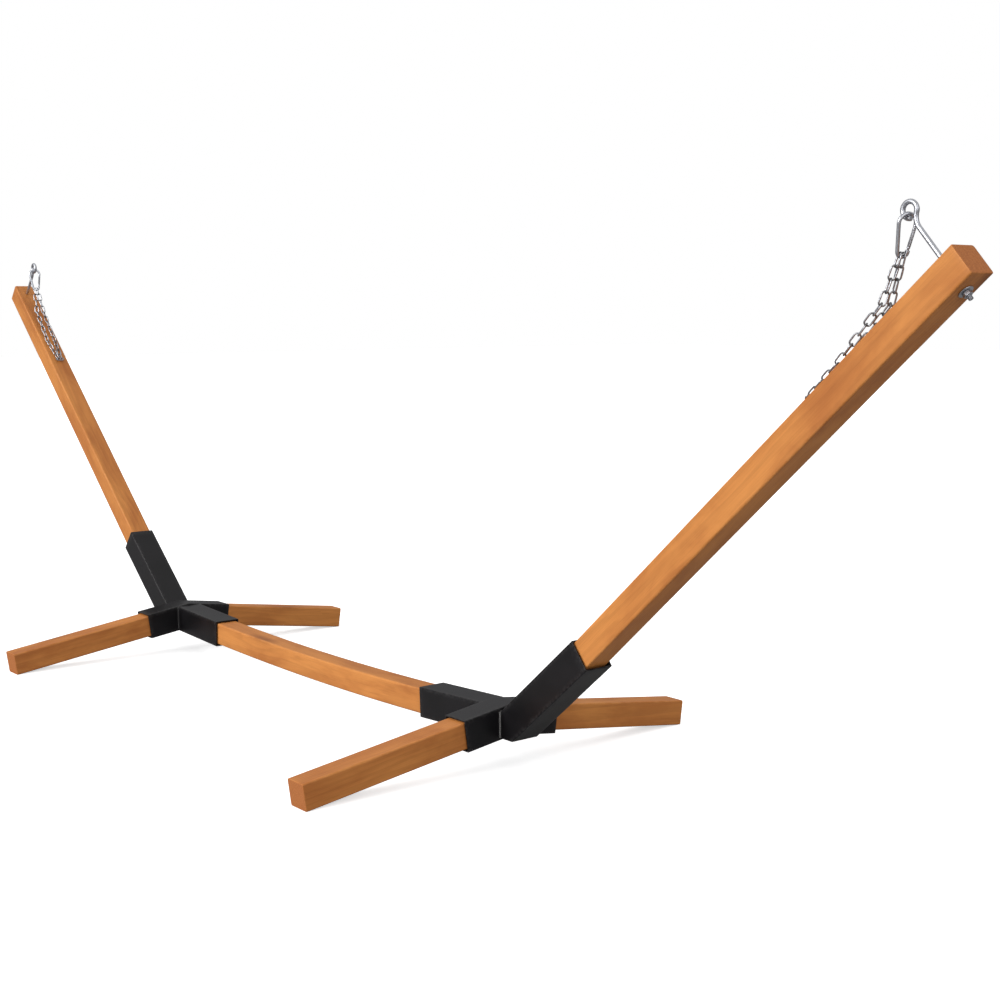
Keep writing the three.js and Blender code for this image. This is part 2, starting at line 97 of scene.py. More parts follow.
class StandFrameSizes(bpy.types.PropertyGroup):
    """Timbers and brackets."""

    half_span: length("Half Span", "Middle of the stand to a bracket's centre", HALF_SPAN)
    timber: length("Timber", "Side of the square timber", TIMBER_SIDE)
    arris: length("Arris", "Radius of the timber's long edges", 4 * MM)
    end_arris: length("End Arris", "Radius of the timber's end edges", 1.2 * MM)
    foot_length: length("Foot Length", "Bracket centre to the end of a foot", 490 * MM)
    foot_drop: angle("Foot Drop", "How far a foot slopes down", 8)
    foot_flat: length("Foot Flat", "Strip planed level under the end of a foot", 8 * MM)
    mast_angle: angle("Mast Angle", "Slope of a mast above the horizontal", 41.3)
    mast_lean: angle("Mast Lean", "How much steeper a mast stands than its socket", 1.5)
    mast_offset: length("Mast Offset", "Bracket centre to the mast's axis", 66.5 * MM)
    mast_start: length("Mast Start", "Lower end of a mast along its axis", 101 * MM)
    mast_top: length("Mast Top", "Upper end of a mast along its axis", 1342 * MM)
    spine_sag: length("Spine Sag", "Middle of the spine below its ends", 18.8 * MM)
    spine_lower: length("Spine Lower", "Spine's axis below the feet's", 3 * MM)
    wall: length("Wall", "Thickness of the bracket steel", 3 * MM)
    play: length("Play", "Free space between timber and socket, each side", 2.5 * MM)
    corner: length("Corner", "Outer corner radius of a socket", 2.4 * MM)
    foot_socket: length("Foot Socket", "Bracket centre to a foot socket's mouth", 118 * MM)
    spine_socket: length("Spine Socket", "Bracket centre to the spine socket's mouth", 244 * MM)
    mast_socket: length("Mast Socket", "Mouth of the mast's socket along the mast", 269 * MM)
    screw_from_mouth: length("Screw", "Socket mouth to its screw", 36 * MM)
    weld: length("Weld", "Radius of a weld bead", 2.3 * MM)


class StandHardwareSizes(bpy.types.PropertyGroup):
    """Eye bolts, snap hooks, chains and screws."""

    bolt: length("Bolt", "Eye bolt rod", 8 * MM)
    thread: length("Thread", "Pitch of the bolt's thread", 1.25 * MM)
    bolt_from_end: length("Bolt From End", "Mast's end to the bolt", 37.5 * MM)
    eye_height: length("Eye Height", "Mast's inner face to the middle of the eye", 100.5 * MM)
    eye_radius: length("Eye Radius", "Middle of the rod round the eye", 12.5 * MM)
    eye_shift: length("Eye Shift", "Eye's centre beside the shank", 4 * MM)
    neck_radius: length("Neck Radius", "Bend between shank and eye", 25 * MM)
    eye_end: angle("Eye End", "Where the rod ends round the eye", 243)
    stub: length("Stub", "Rod left below the nut", 7 * MM)
    hook_wire: length("Hook Wire", "Wire of the snap hook", 6 * MM)
    hook_length: length("Hook Length", "Overall length of the snap hook", 70 * MM)
    hook_wide: length("Hook Wide", "Middle of the wire at the wide end", 14.5 * MM)
    hook_narrow: length("Hook Narrow", "Middle of the wire at the narrow end", 8.5 * MM)
    hook_lean: angle("Hook Lean", "How far the chain draws the hook inwards", 11)
    hook_turn: angle("Hook Turn", "Turn of the hook about its own length", 19)
    gate_wire: length("Gate Wire", "Diameter of the gate", 5.4 * MM)
    link_wire: length("Link Wire", "Wire of a chain link", 3 * MM)
    link_width: length("Link Width", "Overall width of a link", 13.6 * MM)
    link_pitch: length("Link Pitch", "Inside length of a link", 20 * MM)
    upper_links: IntProperty(name="Upper Links", description="Links in the upper run", default=4, min=1)
    middle_links: IntProperty(name="Middle Links", description="Links in the middle run", default=6, min=1)
    lower_links: IntProperty(name="Lower Links", description="Links in the lower run", default=4, min=1)
    screw_head: length("Screw Head", "Diameter of a screw's head", 12 * MM)


class StandFinishes(bpy.types.PropertyGroup):
    """Colours of the timber, paint and zinc."""

    honey: colour("Honey", "Lighter stained wood", (0.620, 0.245, 0.062))
    amber: colour("Amber", "Darker stained wood", (0.440, 0.150, 0.036))
    latewood: colour("Latewood", "Dark bands and knots", (0.170, 0.048, 0.012))
    end_grain: colour("End Grain", "Sawn end of a timber", (0.470, 0.168, 0.050))
    paint: colour("Paint", "Black powder coat", (0.004, 0.0037, 0.0042))
    zinc: colour("Zinc", "Bright zinc plate", (0.58, 0.59, 0.63))
    # A dark colour for grime, also used as painted shade in the hardware's hollows and where its parts
    # meet.
    grime_and_shade_colour: colour("Grime", "Oil and dirt in the hardware", (0.09, 0.085, 0.08))


class StandStageSettings(bpy.types.PropertyGroup):
    """Floor, light and camera."""

    floor_size: length("Floor Size", "Side of the floor", 60)
    key_power: FloatProperty(
        name="Key Power", description="Strength of the key light", default=2.7, min=0
    )
    fill_power: FloatProperty(
        name="Fill Power", description="Strength of the fill light", default=0.95, min=0
    )
    key_spread: angle("Key Spread", "Width of the key light in the sky", 34)
    fill_spread: angle("Fill Spread", "Width of the fill light in the sky", 50)
    lens: FloatProperty(name="Lens", description="Focal length in millimetres", default=55.4, min=1)


def sizes():
    """The sizes of the timbers and brackets."""
    return bpy.context.scene.stand_frame


def hardware():
    """The sizes of the hardware."""
    return bpy.context.scene.stand_hardware


def finishes():
    """The colours."""
    return bpy.context.scene.stand_finishes


# ---- Frames --------------------------------------------------------------------------------------
def shift(x, y, z):
    """A move."""
    matrix = np.eye(4)
    matrix[:3, 3] = (x, y, z)
    return matrix


def turn(axis, radians):
    """A turn about X, Y or Z (0, 1 or 2) by the right-hand rule."""
    c, s = math.cos(radians), math.sin(radians)
    i, j = (axis + 1) % 3, (axis + 2) % 3
    matrix = np.eye(4)
    matrix[i, i], matrix[i, j], matrix[j, i], matrix[j, j] = c, -s, s, c
    return matrix


def placed(points, matrix):
    """Points of any array shape, moved and turned by a matrix."""
    return points @ matrix[:3, :3].T + matrix[:3, 3]


def node_height():
    """Height of a bracket's centre: the foot's drop, plus half the timber, less what is planed off."""
    s = sizes()
    drop = s.foot_drop
    flat = s.foot_flat * math.sin(drop) * math.cos(drop)
    return s.foot_length * math.sin(drop) + s.timber / 2 * math.cos(drop) - flat


def bracket(side):
    """Frame of a bracket: at its centre, with +X away from the middle of the stand."""
    return shift(side * sizes().half_span, 0, node_height()) @ turn(2, 0 if side > 0 else math.pi)


def shell():
    """Bracket centre to the outer faces of its sockets."""
    s = sizes()
    return s.timber / 2 + s.play + s.wall


def mast_frame():
    """In the bracket's frame: +X along the mast, +Z out of its inner face."""
    s = sizes()
    return shift(s.mast_offset, 0, 0) @ turn(1, -s.mast_angle)


def mast_socket_frame():
    """In the bracket's frame: at the socket's mouth, leaning less than the mast."""
    s = sizes()
    mouth = placed(np.array((s.mast_socket, 0, 0.3 * MM - s.play)), mast_frame())
    return shift(*mouth) @ turn(1, s.mast_lean - s.mast_angle)


# ---- Surfaces ------------------------------------------------------------------------------------
def with_middle(ring):
    """A ring's points or values, with their mean added as one more."""
    return np.concatenate((ring, ring.mean(0)[None]))


class Surface:
    """Vertices, faces and vertex values of one or more patches, gathered for one mesh."""

    def __init__(self):
        self.points, self.faces, self.values, self.count = [], [], {}, 0

    def add(self, points, faces, **values):
        """Adds a patch: points (n, 3), faces (m, 3 or 4) and one value or vector for each point."""
        self.points.append(points)
        self.faces += (faces + self.count).tolist()
        for name, value in values.items():
            self.values.setdefault(name, []).append((self.count, value))
        self.count += len(points)
        return self

    def rings(self, rings, closed=False, capped=True, **values):
        """Rings (n, p, 3) joined in order. Seen from the last ring back, each runs counterclockwise.

        Closed joins the last ring to the first; capped closes each end with a fan about its middle.
        """
        n, p = rings.shape[:2]
        i = np.arange(n if closed else n - 1)[:, None]
        j = np.arange(p)[None, :]
        a, b = i % n * p, (i + 1) % n * p
        k = (j + 1) % p
        quads = np.stack(np.broadcast_arrays(a + j, a + k, b + k, b + j), -1).reshape(-1, 4)
        flat = {name: value.reshape((n * p,) + value.shape[2:]) for name, value in values.items()}
        self.add(rings.reshape(-1, 3), quads, **flat)
        if capped and not closed:
            middle, j, k = np.full(p, p), np.arange(p), (np.arange(p) + 1) % p
            for end, fan in ((0, (middle, k, j)), (n - 1, (middle, j, k))):
                ends = {name: with_middle(value[end]) for name, value in values.items()}
                self.add(with_middle(rings[end]), np.stack(fan, -1), **ends)
        return self

    def make(self, name, material, body, slot, nodes, matrix=None, smooth=math.radians(35)):
        """Makes the object, rides it on its body and hides the nodes of the imported model that it stands
        for.
        """
        points = np.concatenate(self.points)
        if matrix is not None:
            points = placed(points, matrix)
        mesh = bpy.data.meshes.new(name)
        mesh.from_pydata(points.tolist(), [], self.faces)
        for value_name, parts in self.values.items():
            width = parts[0][1].shape[1:]
            data = np.zeros((self.count,) + width, np.float32)
            for start, part in parts:
                data[start : start + len(part)] = part
            kind = "FLOAT_VECTOR" if width else "FLOAT"
            attribute = mesh.attributes.new(value_name, kind, "POINT")
            attribute.data.foreach_set("vector" if width else "value", data.ravel())
        mesh.materials.append(material)
        obj = bpy.data.objects.new(name, mesh)
        bpy.context.scene.collection.objects.link(obj)
        weld_doubles(mesh)
        mesh.polygons.foreach_set("use_smooth", np.ones(len(mesh.polygons), bool))
        mesh.set_sharp_from_angle(angle=smooth)
        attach(obj, body)
        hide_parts(*nodes)
        return obj


def weld_doubles(mesh):
    """Merges vertices that lie on each other, so that caps and rims are closed."""
    work = bmesh.new()
    work.from_mesh(mesh)
    bmesh.ops.remove_doubles(work, verts=work.verts, dist=2e-7)
    work.to_mesh(mesh)
    work.free()


def rounded_square(half, radius, corner_steps=6, side_steps=6):
    """Outline (p, 2), counterclockwise: four quarter circles about the corner centres, joined by sides."""
    turns = np.linspace(0, math.pi / 2, corner_steps + 1)
    along = np.linspace(0, 1, side_steps + 1)[1:-1, None]
    parts = []
    for quarter in range(4):
        c, s = round(math.cos(quarter * math.pi / 2)), round(math.sin(quarter * math.pi / 2))
        centre = (half - radius) * np.array((c - s, c + s))
        arc = centre + radius * np.stack(
            (np.cos(turns + quarter * math.pi / 2), np.sin(turns + quarter * math.pi / 2)), -1
        )
        parts.append(arc)
    outline = []
    for quarter in range(4):
        start, end = parts[quarter][-1], parts[(quarter + 1) % 4][0]
        outline += [parts[quarter], start + along * (end - start)]
    return np.concatenate(outline)


def round_angles(count):
    """Even angles (count,) of one whole turn."""
    return np.arange(count) * 2 * math.pi / count


def circle(count):
    """Unit outline (count, 2), counterclockwise."""
    t = round_angles(count)
    return np.stack((np.cos(t), np.sin(t)), -1)


def distance_along(path):
    """Distance (n,) from a path's first point to each of its points, along the path."""
    return np.concatenate(([0], np.cumsum(np.linalg.norm(np.diff(path, axis=0), axis=1))))


def directions(path):
    """Unit directions (n, 3) along a path: its gradient over the gradient's length."""
    tangent = np.gradient(path, axis=0)
    return tangent / np.linalg.norm(tangent, axis=1, keepdims=True)


def drawn_in(s, over, amount):
    """Factor (n,) that draws a wire in at both ends: sqrt(1 - amount (1 - u)^2).

    u rises from 0 at either end to 1 at the distance over.
    """
    u = np.clip(np.minimum(s, s[-1] - s) / over, 0, 1)
    return np.sqrt(1 - (1 - u) ** 2 * amount)


def bar_rings(stations, outlines):
    """Rings along +X: each station's outline (p, 2) gives Y and Z."""
    x = np.broadcast_to(np.asarray(stations, float)[:, None], outlines.shape[:2])
    return np.concatenate((x[..., None], outlines), -1)


def lathe(profile, count):
    """Rings of a closed or open profile (n, 2) of radius and height, turned about +Z.

    Each point goes to radius times (cos, sin) at its height.
    """
    unit = circle(count)
    profile = np.asarray(profile, float)
    flat = profile[:, None, :1] * unit[None]
    height = np.broadcast_to(profile[:, None, 1:], flat.shape[:2] + (1,))
    return np.concatenate((flat, height), -1)


def wire_rings(path, radius, count=16):
    """A round wire along a path (n, 3) that lies in the XZ plane.

    Each point gets a circle across the path: radius times (cos t on +Y, sin t on the path's normal).
    The radius is one number, one for each station, or one for each point.
    """
    across = np.array((0.0, 1.0, 0.0))
    normal = np.cross(directions(path), across)
    unit = circle(count)
    radius = np.asarray(radius, float)
    radius = radius.reshape(radius.shape + (1,) * (3 - radius.ndim))
    return path[:, None] + radius * (unit[None, :, :1] * across + unit[None, :, 1:] * normal[:, None])


def arc_points(x, z, radius, start, end, count):
    """Points (count, 3) of a circle in the XZ plane, the angle running from +X towards +Z."""
    t = np.linspace(start, end, count)
    return np.stack((x + radius * np.cos(t), np.zeros(count), z + radius * np.sin(t)), -1)


def line_points(start, end, count):
    """Points (count, 3) from one (x, z) to another."""
    t = np.linspace(0, 1, count)[:, None]
    flat = (1 - t) * np.array(start) + t * np.array(end)
    return np.stack((flat[:, 0], np.zeros(count), flat[:, 1]), -1)


def joined(*parts):
    """Paths laid end to end, with the shared points kept once."""
    return np.concatenate([parts[0]] + [part[1:] for part in parts[1:]])


def wobble(points, scale, seed):
    """Smooth made-up unevenness from -1 to 1: three sine waves of unlike directions, multiplied."""
    rng = np.random.default_rng(seed)
    waves = rng.normal(size=(3, 3)) * scale
    phase = rng.uniform(0, 2 * math.pi, 3)
    return np.prod(np.sin(points @ waves.T + phase), axis=-1)


# ---- Timber --------------------------------------------------------------------------------------
# Rings that fill a timber's end, and the share of the way to its middle that the innermost is drawn in.
END_RINGS = 6
END_INNERMOST = 0.98


def timber(start, end, stations, seed, bend=None):
    """A planed timber along +X with rounded long edges and slightly eased ends.

    Each station carries the rounded square. Towards an end the section is drawn in by
    r (1 - cos t) as it runs out by r sin t, and the end is filled by ever smaller copies of the section.
    """
    s = sizes()
    half, r = s.timber / 2, s.end_arris
    outline = rounded_square(half, s.arris, 6, 8)
    t = np.linspace(0, math.pi / 2, 5)
    ease_x, ease_in = r * (1 - np.sin(t)), r * (1 - np.cos(t))
    cap = np.linspace(half * END_INNERMOST, r, END_RINGS + 1)[:-1]
    inset = np.concatenate((cap, ease_in[::-1], np.zeros(stations), ease_in, cap[::-1]))
    body = np.linspace(start + r, end - r, stations + 2)[1:-1]
    starts, ends = np.full(END_RINGS, start), np.full(END_RINGS, end)
    x = np.concatenate((starts, start + ease_x[::-1], body, end - ease_x, ends))
    ring_scale = (1 - inset / half)[:, None, None]
    rings = bar_rings(x, outline[None] * ring_scale)
    corner = np.clip((np.abs(outline).min(1) - (half - s.arris)) / (0.3 * s.arris), 0, 1)
    arris = np.broadcast_to(corner[None], rings.shape[:2]).copy()
    on_end = (inset > 0.5 * r).astype(float)[:, None]
    eased = ((inset > 0) & (inset <= r)).astype(float)[:, None]
    arris = np.maximum(arris * (inset < 2 * r)[:, None], np.broadcast_to(eased, arris.shape))
    cut = np.broadcast_to(on_end, arris.shape)
    offset = np.random.default_rng(seed).uniform(-5, 5, 3)
    grain = rings + offset
    if bend is not None:
        rings = bend(rings)
    return Surface().rings(rings, grain=grain, arris=arris, cut_end=cut)


def foot_surface(direction, seed):
    """A foot and the frame that slopes it down; what would lie below the ground is planed off level."""
    s = sizes()
    start = s.timber / 2 * math.sin(s.foot_drop) + 0.5 * MM
    surface = timber(start, s.foot_length, 60, seed)
    matrix = turn(2, direction * math.pi / 2) @ turn(1, s.foot_drop)
    return surface, matrix


def spine_radius():
    """Radius of the spine's arc: (half span squared + sag squared) over twice the sag."""
    s = sizes()
    return (s.half_span**2 + s.spine_sag**2) / (2 * s.spine_sag)


def spine_gap():
    """Bracket centre to the spine's end, which clears the feet's tube at its slope there."""
    s = sizes()
    return shell() + 1 * MM + s.timber / 2 * (2 * s.spine_sag / s.half_span)


def spine_bend(points):
    """Bends a bar along +X into an arc.

    x becomes the angle x / R about a centre R above the lowest point.
    """
    s = sizes()
    radius = spine_radius()
    top = node_height() - s.spine_lower + radius - s.spine_sag
    t = points[..., 0] / radius
    r = radius - points[..., 2]
    return np.stack((r * np.sin(t), points[..., 1], top - r * np.cos(t)), -1)


# ---- Brackets ------------------------------------------------------------------------------------
def socket_rings(start_of, stations=10):
    """A square tube along +X from start_of(y, z) to its mouth at zero, open at both ends.

    The outline runs along the outside, rolls round the mouth's lip by half circles of the wall's
    thickness, and comes back along the inside.
    """
    s = sizes()
    outer = rounded_square(shell(), s.corner, 5, 8)
    inner = rounded_square(shell() - s.wall, 0.8 * MM, 5, 8)
    lip = 0.5 * MM
    t = np.linspace(0, math.pi / 2, 4)
    to_inner = inner - outer
    unit = to_inner / s.wall
    rings, x = [], []
    begin = start_of(outer[:, 0], outer[:, 1])
    for k in np.linspace(0, 1, stations):
        rings.append(outer)
        x.append(begin * (1 - k) - lip * k)
    for a in t[1:]:
        rings.append(outer + unit * lip * (1 - math.cos(a)))
        x.append(np.full(len(outer), -lip + lip * math.sin(a)))
    for a in t:
        rings.append(inner - unit * lip * (1 - math.sin(a)))
        x.append(np.full(len(outer), -lip + lip * math.cos(a)))
    begin = start_of(inner[:, 0], inner[:, 1])
    for k in np.linspace(0, 1, stations)[1:]:
        rings.append(inner)
        x.append(begin * k - lip * (1 - k))
    outline = np.array(rings)
    return np.concatenate((np.array(x)[..., None], outline), -1), corner_mask(outline, x)


def corner_mask(outline, x):
    """One where a socket's corner or its lip is rubbed, else zero."""
    corner = (np.abs(outline).min(-1) > shell() - sizes().wall * 1.2).astype(float)
    lip = (np.array(x) > -1.0 * MM).astype(float)
    return np.maximum(corner, lip)


def foot_tube():
    """The tube that takes both feet: two sloping halves that meet on the plane y = 0."""
    s = sizes()
    rings, wear_and_shade = socket_rings(lambda y, z: -s.foot_socket - z * math.tan(s.foot_drop), 12)
    surface = Surface()
    for direction in (-1, 1):
        matrix = turn(2, direction * math.pi / 2) @ turn(1, s.foot_drop) @ shift(s.foot_socket, 0, 0)
        surface.rings(placed(rings, matrix), capped=False, rubbed=wear_and_shade)
    return surface


def spine_tube_frame():
    """In the bracket's frame: at the mouth of the spine's socket, along the arc's chord; and its slope."""
    s = sizes()
    radius = spine_radius()

    def height(x):
        return radius - s.spine_sag - math.sqrt(radius**2 - x * x)

    end = spine_gap()
    rise = height(s.half_span - end) - height(s.half_span - s.spine_socket)
    slope = math.atan2(rise, s.spine_socket - end)
    drop = -s.spine_lower + height(s.half_span - end) + end * math.tan(slope)
    return shift(0, 0, drop) @ turn(2, math.pi) @ turn(1, slope) @ shift(s.spine_socket, 0, 0), slope


RIPPLE = 2.1 * MM


def bead(path, radius, seed):
    """Rings of a weld bead along a path (n, 3): a round section that swells once for every ripple.

    Its radius is r (1 + 0.2 |sin(pi s / ripple)|) with some unevenness, drawn in at each end.
    """
    s = distance_along(path)
    count = int(s[-1] / (0.3 * MM)) + 2
    t = np.linspace(0, s[-1], count)
    line = np.stack([np.interp(t, s, path[:, k]) for k in range(3)], -1)
    tangent = directions(line)
    side = np.where(np.abs(tangent[:, 2:]) > 0.7, (1.0, 0.0, 0.0), (0.0, 0.0, 1.0))
    a = np.cross(tangent, side)
    a /= np.linalg.norm(a, axis=1, keepdims=True)
    b = np.cross(tangent, a)
    unit = circle(14)
    ripple = 1 + 0.2 * np.abs(np.sin(math.pi * t / RIPPLE))
    ends = np.sqrt(np.clip(np.minimum(t, s[-1] - t) / (1.5 * MM), 0.02, 1))
    r = radius * ripple * ends
    section = unit[None, :, :1] * a[:, None] + unit[None, :, 1:] * b[:, None]
    rings = line[:, None] + r[:, None, None] * section
    rings += 0.16 * radius * wobble(rings, 1400, seed)[..., None] * (rings - line[:, None]) / radius
    return rings


def weld_lines():
    """Seams of a bracket in its own frame, each an array of corner points."""
    s = sizes()
    h = shell() / MM
    drop = math.tan(s.foot_drop)
    socket = mast_socket_frame()
    # Height at which the mast socket's upper face meets the feet's tube.
    direction, normal = socket[:3, 0], socket[:3, 2]
    corner = socket[:3, 3] / MM + h * normal
    meet = corner[2] + (h - corner[0]) / direction[0] * direction[2]
    spine, slope = spine_tube_frame()
    upper = (spine[:3, 3] / MM)[2] + h * math.cos(slope)
    at_foot = upper + (-h - (spine[:3, 3] / MM)[0]) * math.tan(slope)
    lines = [
        [(h, -h, -h), (h, -h, meet)],
        [(h, h, -h), (h, h, meet)],
        [(h, -h, meet), (h, h, meet)],
        [(-h, -h, -h - 1), (-h, -h, min(at_foot, h - h * drop))],
        [(-h, h, -h - 1), (-h, h, min(at_foot, h - h * drop))],
    ]
    return [np.array(line) * MM for line in lines]


def bracket_surface(seed):
    """A whole bracket in its own frame: feet tube, spine tube, mast tube and the weld beads."""
    s = sizes()
    surface = foot_tube()
    matrix, slope = spine_tube_frame()

    def spine_start(y, z):
        # Where the tube meets the plane x = -shell: x_b = -(X + socket) cos(slope) - z sin(slope).
        return (shell() - 0.4 * MM - z * math.sin(slope)) / math.cos(slope) - s.spine_socket

    rings, wear_and_shade = socket_rings(spine_start, 16)
    surface.rings(placed(rings, matrix), closed=True, rubbed=wear_and_shade)
    matrix = mast_socket_frame()
    along, normal, origin = matrix[:3, 0], matrix[:3, 2], matrix[:3, 3]

    def mast_start(y, z):
        # The later of two planes: the feet tube's face x = shell, and the bracket's floor z = -shell.
        face = (shell() - 0.4 * MM - origin[0] - z * normal[0]) / along[0]
        floor = (-shell() - origin[2] - z * normal[2]) / along[2]
        return np.maximum(face, floor)

    rings, wear_and_shade = socket_rings(mast_start, 18)
    surface.rings(placed(rings, matrix), closed=True, rubbed=wear_and_shade)
    for k, line in enumerate(weld_lines()):
        rings = bead(line, s.weld, seed + k)
        surface.rings(rings, weld=np.full(rings.shape[:2], 1.0 if k < 2 else 0.25))
    return surface


# ---- Eye bolt ------------------------------------------------------------------------------------
def bolt_at():
    """Mast's axis position of the bolt."""
    return sizes().mast_top - hardware().bolt_from_end


def eye():
    """The eye's centre in the mast's frame, as (x, z)."""
    h = hardware()
    return bolt_at() + h.eye_shift, sizes().timber / 2 + h.eye_height


WASHER = 2 * MM
WASHER_RADIUS = 12 * MM
NUT = 6.5 * MM
NUT_ACROSS = 13 * MM
GAP = 0.3 * MM


def eye_bolt_surface():
    """Rod from the stub up through the mast, round the neck and round the eye.

    On the threaded end the radius is R - 0.6 d (1 + cos(2 pi (s / pitch) - t)) / 2, a helix, and both ends
    of the rod are eased.
    """
    h = hardware()
    x, z = eye()
    reach = h.neck_radius + h.eye_radius
    side = h.neck_radius - h.eye_shift
    rise = math.sqrt(reach**2 - side**2)
    meet = math.atan2(-rise, side)
    low = -sizes().timber / 2 - WASHER - NUT - 2 * GAP - h.stub
    threaded = low + h.stub + NUT + 6 * MM
    path = joined(
        line_points((bolt_at(), low), (bolt_at(), threaded), 200),
        line_points((bolt_at(), threaded), (bolt_at(), z - rise), 30),
        arc_points(bolt_at() + h.neck_radius, z - rise, h.neck_radius, math.pi, math.pi + meet, 22),
        arc_points(x, z, h.eye_radius, meet, h.eye_end, 64),
    )
    s, t = distance_along(path), round_angles(28)
    r = h.bolt / 2
    helix = 0.5 * (1 + np.cos(2 * math.pi * s[:, None] / h.thread - t[None]))
    fade = np.clip((threaded - low - s) / h.thread, 0, 1)[:, None]
    radius = (r - 0.6 * MM * helix * fade) * drawn_in(s, 0.9 * MM, 0.35)[:, None]
    # Painted shade: the zinc is darkened in the thread's grooves, where the helix cuts deepest.
    thread = np.broadcast_to(helix * fade, radius.shape)
    return Surface().rings(wire_rings(path, radius, 28), dirt=thread * 0.8)


def washer_rings():
    """A pressed washer with eased edges, as a closed lathe profile, its top at zero."""
    r, hole, e, t = WASHER_RADIUS, hardware().bolt / 2 + GAP, 0.5 * MM, WASHER
    profile = [
        (hole, -t + e / 2),
        (hole + e / 2, -t),
        (r - e, -t),
        (r - 0.3 * e, -t + 0.3 * e),
        (r, -t + e),
        (r, -e),
        (r - 0.3 * e, -0.3 * e),
        (r - e, 0),
        (hole + e / 2, 0),
        (hole, -e / 2),
    ]
    return lathe(profile, 64)


def nut_rings():
    """A hexagon nut with both faces chamfered, its top at zero.

    The outer radius is the smaller of the hexagon's, (w / 2) / cos(t folded into one side), and a cone
    that draws in towards each face.
    """
    w, hole = NUT_ACROSS, hardware().bolt / 2 + GAP / 2
    count = 96
    t = round_angles(count)
    folded = (t + math.pi / 6) % (math.pi / 3) - math.pi / 6
    hexagon = w / 2 / np.cos(folded)
    heights = np.concatenate((np.linspace(-NUT, -NUT + 1.2 * MM, 7), np.linspace(-1.2 * MM, 0, 7)))
    near_face = np.minimum(heights + NUT, -heights)
    cone = w / 2 * 0.97 + near_face * 1.9
    outer = np.minimum(hexagon[None], cone[:, None])
    chamfer, bore = np.full((1, count), hole + 0.4 * MM), np.full((2, count), hole)
    radius = np.concatenate((chamfer, outer, chamfer, bore))
    height = np.concatenate(([-NUT], heights, [0, -0.4 * MM, -NUT + 0.4 * MM]))
    unit = circle(count)
    z = np.broadcast_to(height[:, None, None], radius.shape + (1,))
    return np.concatenate((radius[..., None] * unit[None], z), -1)


# ---- Snap hook -----------------------------------------------------------------------------------
def hook_sizes():
    """Heights and slope of the snap hook in its own frame, whose origin is the eye's centre.

    Its length runs down -Z and its gate is on +X.
    """
    h = hardware()
    top = -(h.eye_radius - h.bolt / 2 - h.hook_wire / 2 - GAP)
    wide = top - h.hook_wide
    narrow = wide - (h.hook_length - h.hook_wide - h.hook_narrow - h.hook_wire)
    taper = math.asin((h.hook_wide - h.hook_narrow) / (wide - narrow))
    return wide, narrow, taper


def gate_line(up):
    """Point (x, z) on the gate's side, this far up from the narrow end's tangent point."""
    _, narrow, taper = hook_sizes()
    r = hardware().hook_narrow
    return (
        r * math.cos(taper) + up * math.sin(taper),
        narrow - r * math.sin(taper) + up * math.cos(taper),
    )


def gate_span():
    """Length of the straight side."""
    wide, narrow, taper = hook_sizes()
    return (wide - narrow) * math.cos(taper)


FORK_END = 3.5 * MM
PIN_UP = 0.8 * MM
NOSE_STEP = 2.5 * MM
# Angles round the narrow bend, back from its end, at which the wire stops and the fork's cheeks begin.
WIRE_STOP = 0.38
CHEEK_START = 0.6


def hook_surface():
    """The bent wire: nose, wide bend, straight back and narrow bend, and the fork that holds the gate.

    The wire's section is round, its radius drawn in at both ends. Each cheek of the fork is an ellipse
    carried along the last of the bend, beside the slot that the gate's tongue turns in.
    """
    h = hardware()
    wide, narrow, taper = hook_sizes()
    top, tangent = gate_line(gate_span()), gate_line(0)
    nose, fork = gate_line(gate_span() - NOSE_STEP), gate_line(FORK_END)
    last = 2 * math.pi - taper
    path = joined(
        line_points(nose, top, 8),
        arc_points(0, wide, h.hook_wide, -taper, math.pi + taper, 60),
        line_points((-top[0], top[1]), (-tangent[0], tangent[1]), 26),
        arc_points(0, narrow, h.hook_narrow, math.pi + taper, last - WIRE_STOP, 44),
    )
    ease = drawn_in(distance_along(path), 0.8 * MM, 0.45)
    rings = wire_rings(path, h.hook_wire / 2 * ease, 20)
    surface = Surface().rings(rings, dirt=np.zeros(rings.shape[:2]))
    cheek = joined(
        arc_points(0, narrow, h.hook_narrow, last - CHEEK_START, last, 10),
        line_points(tangent, fork, 8),
    )
    drawn = drawn_in(distance_along(cheek), 1.2 * MM, 0.6)
    for y in (-2.3 * MM, 2.3 * MM):
        rings = flattened(cheek, 1.02 * MM, 2.75 * MM * drawn) + (0.0, y, 0.0)
        surface.rings(rings, dirt=np.full(rings.shape[:2], 0.25))
    return surface


def flattened(path, across, in_plane):
    """Rings of an ellipse along a path in the XZ plane.

    Each is across (cos t) on +Y and in_plane (sin t) on the path's normal.
    """
    rings = wire_rings(path, 1.0, 20) - path[:, None]
    sideways = rings * (0, 1, 0)
    in_plane = np.broadcast_to(in_plane, len(path))[:, None, None]
    return path[:, None] + sideways * across + (rings - sideways) * in_plane


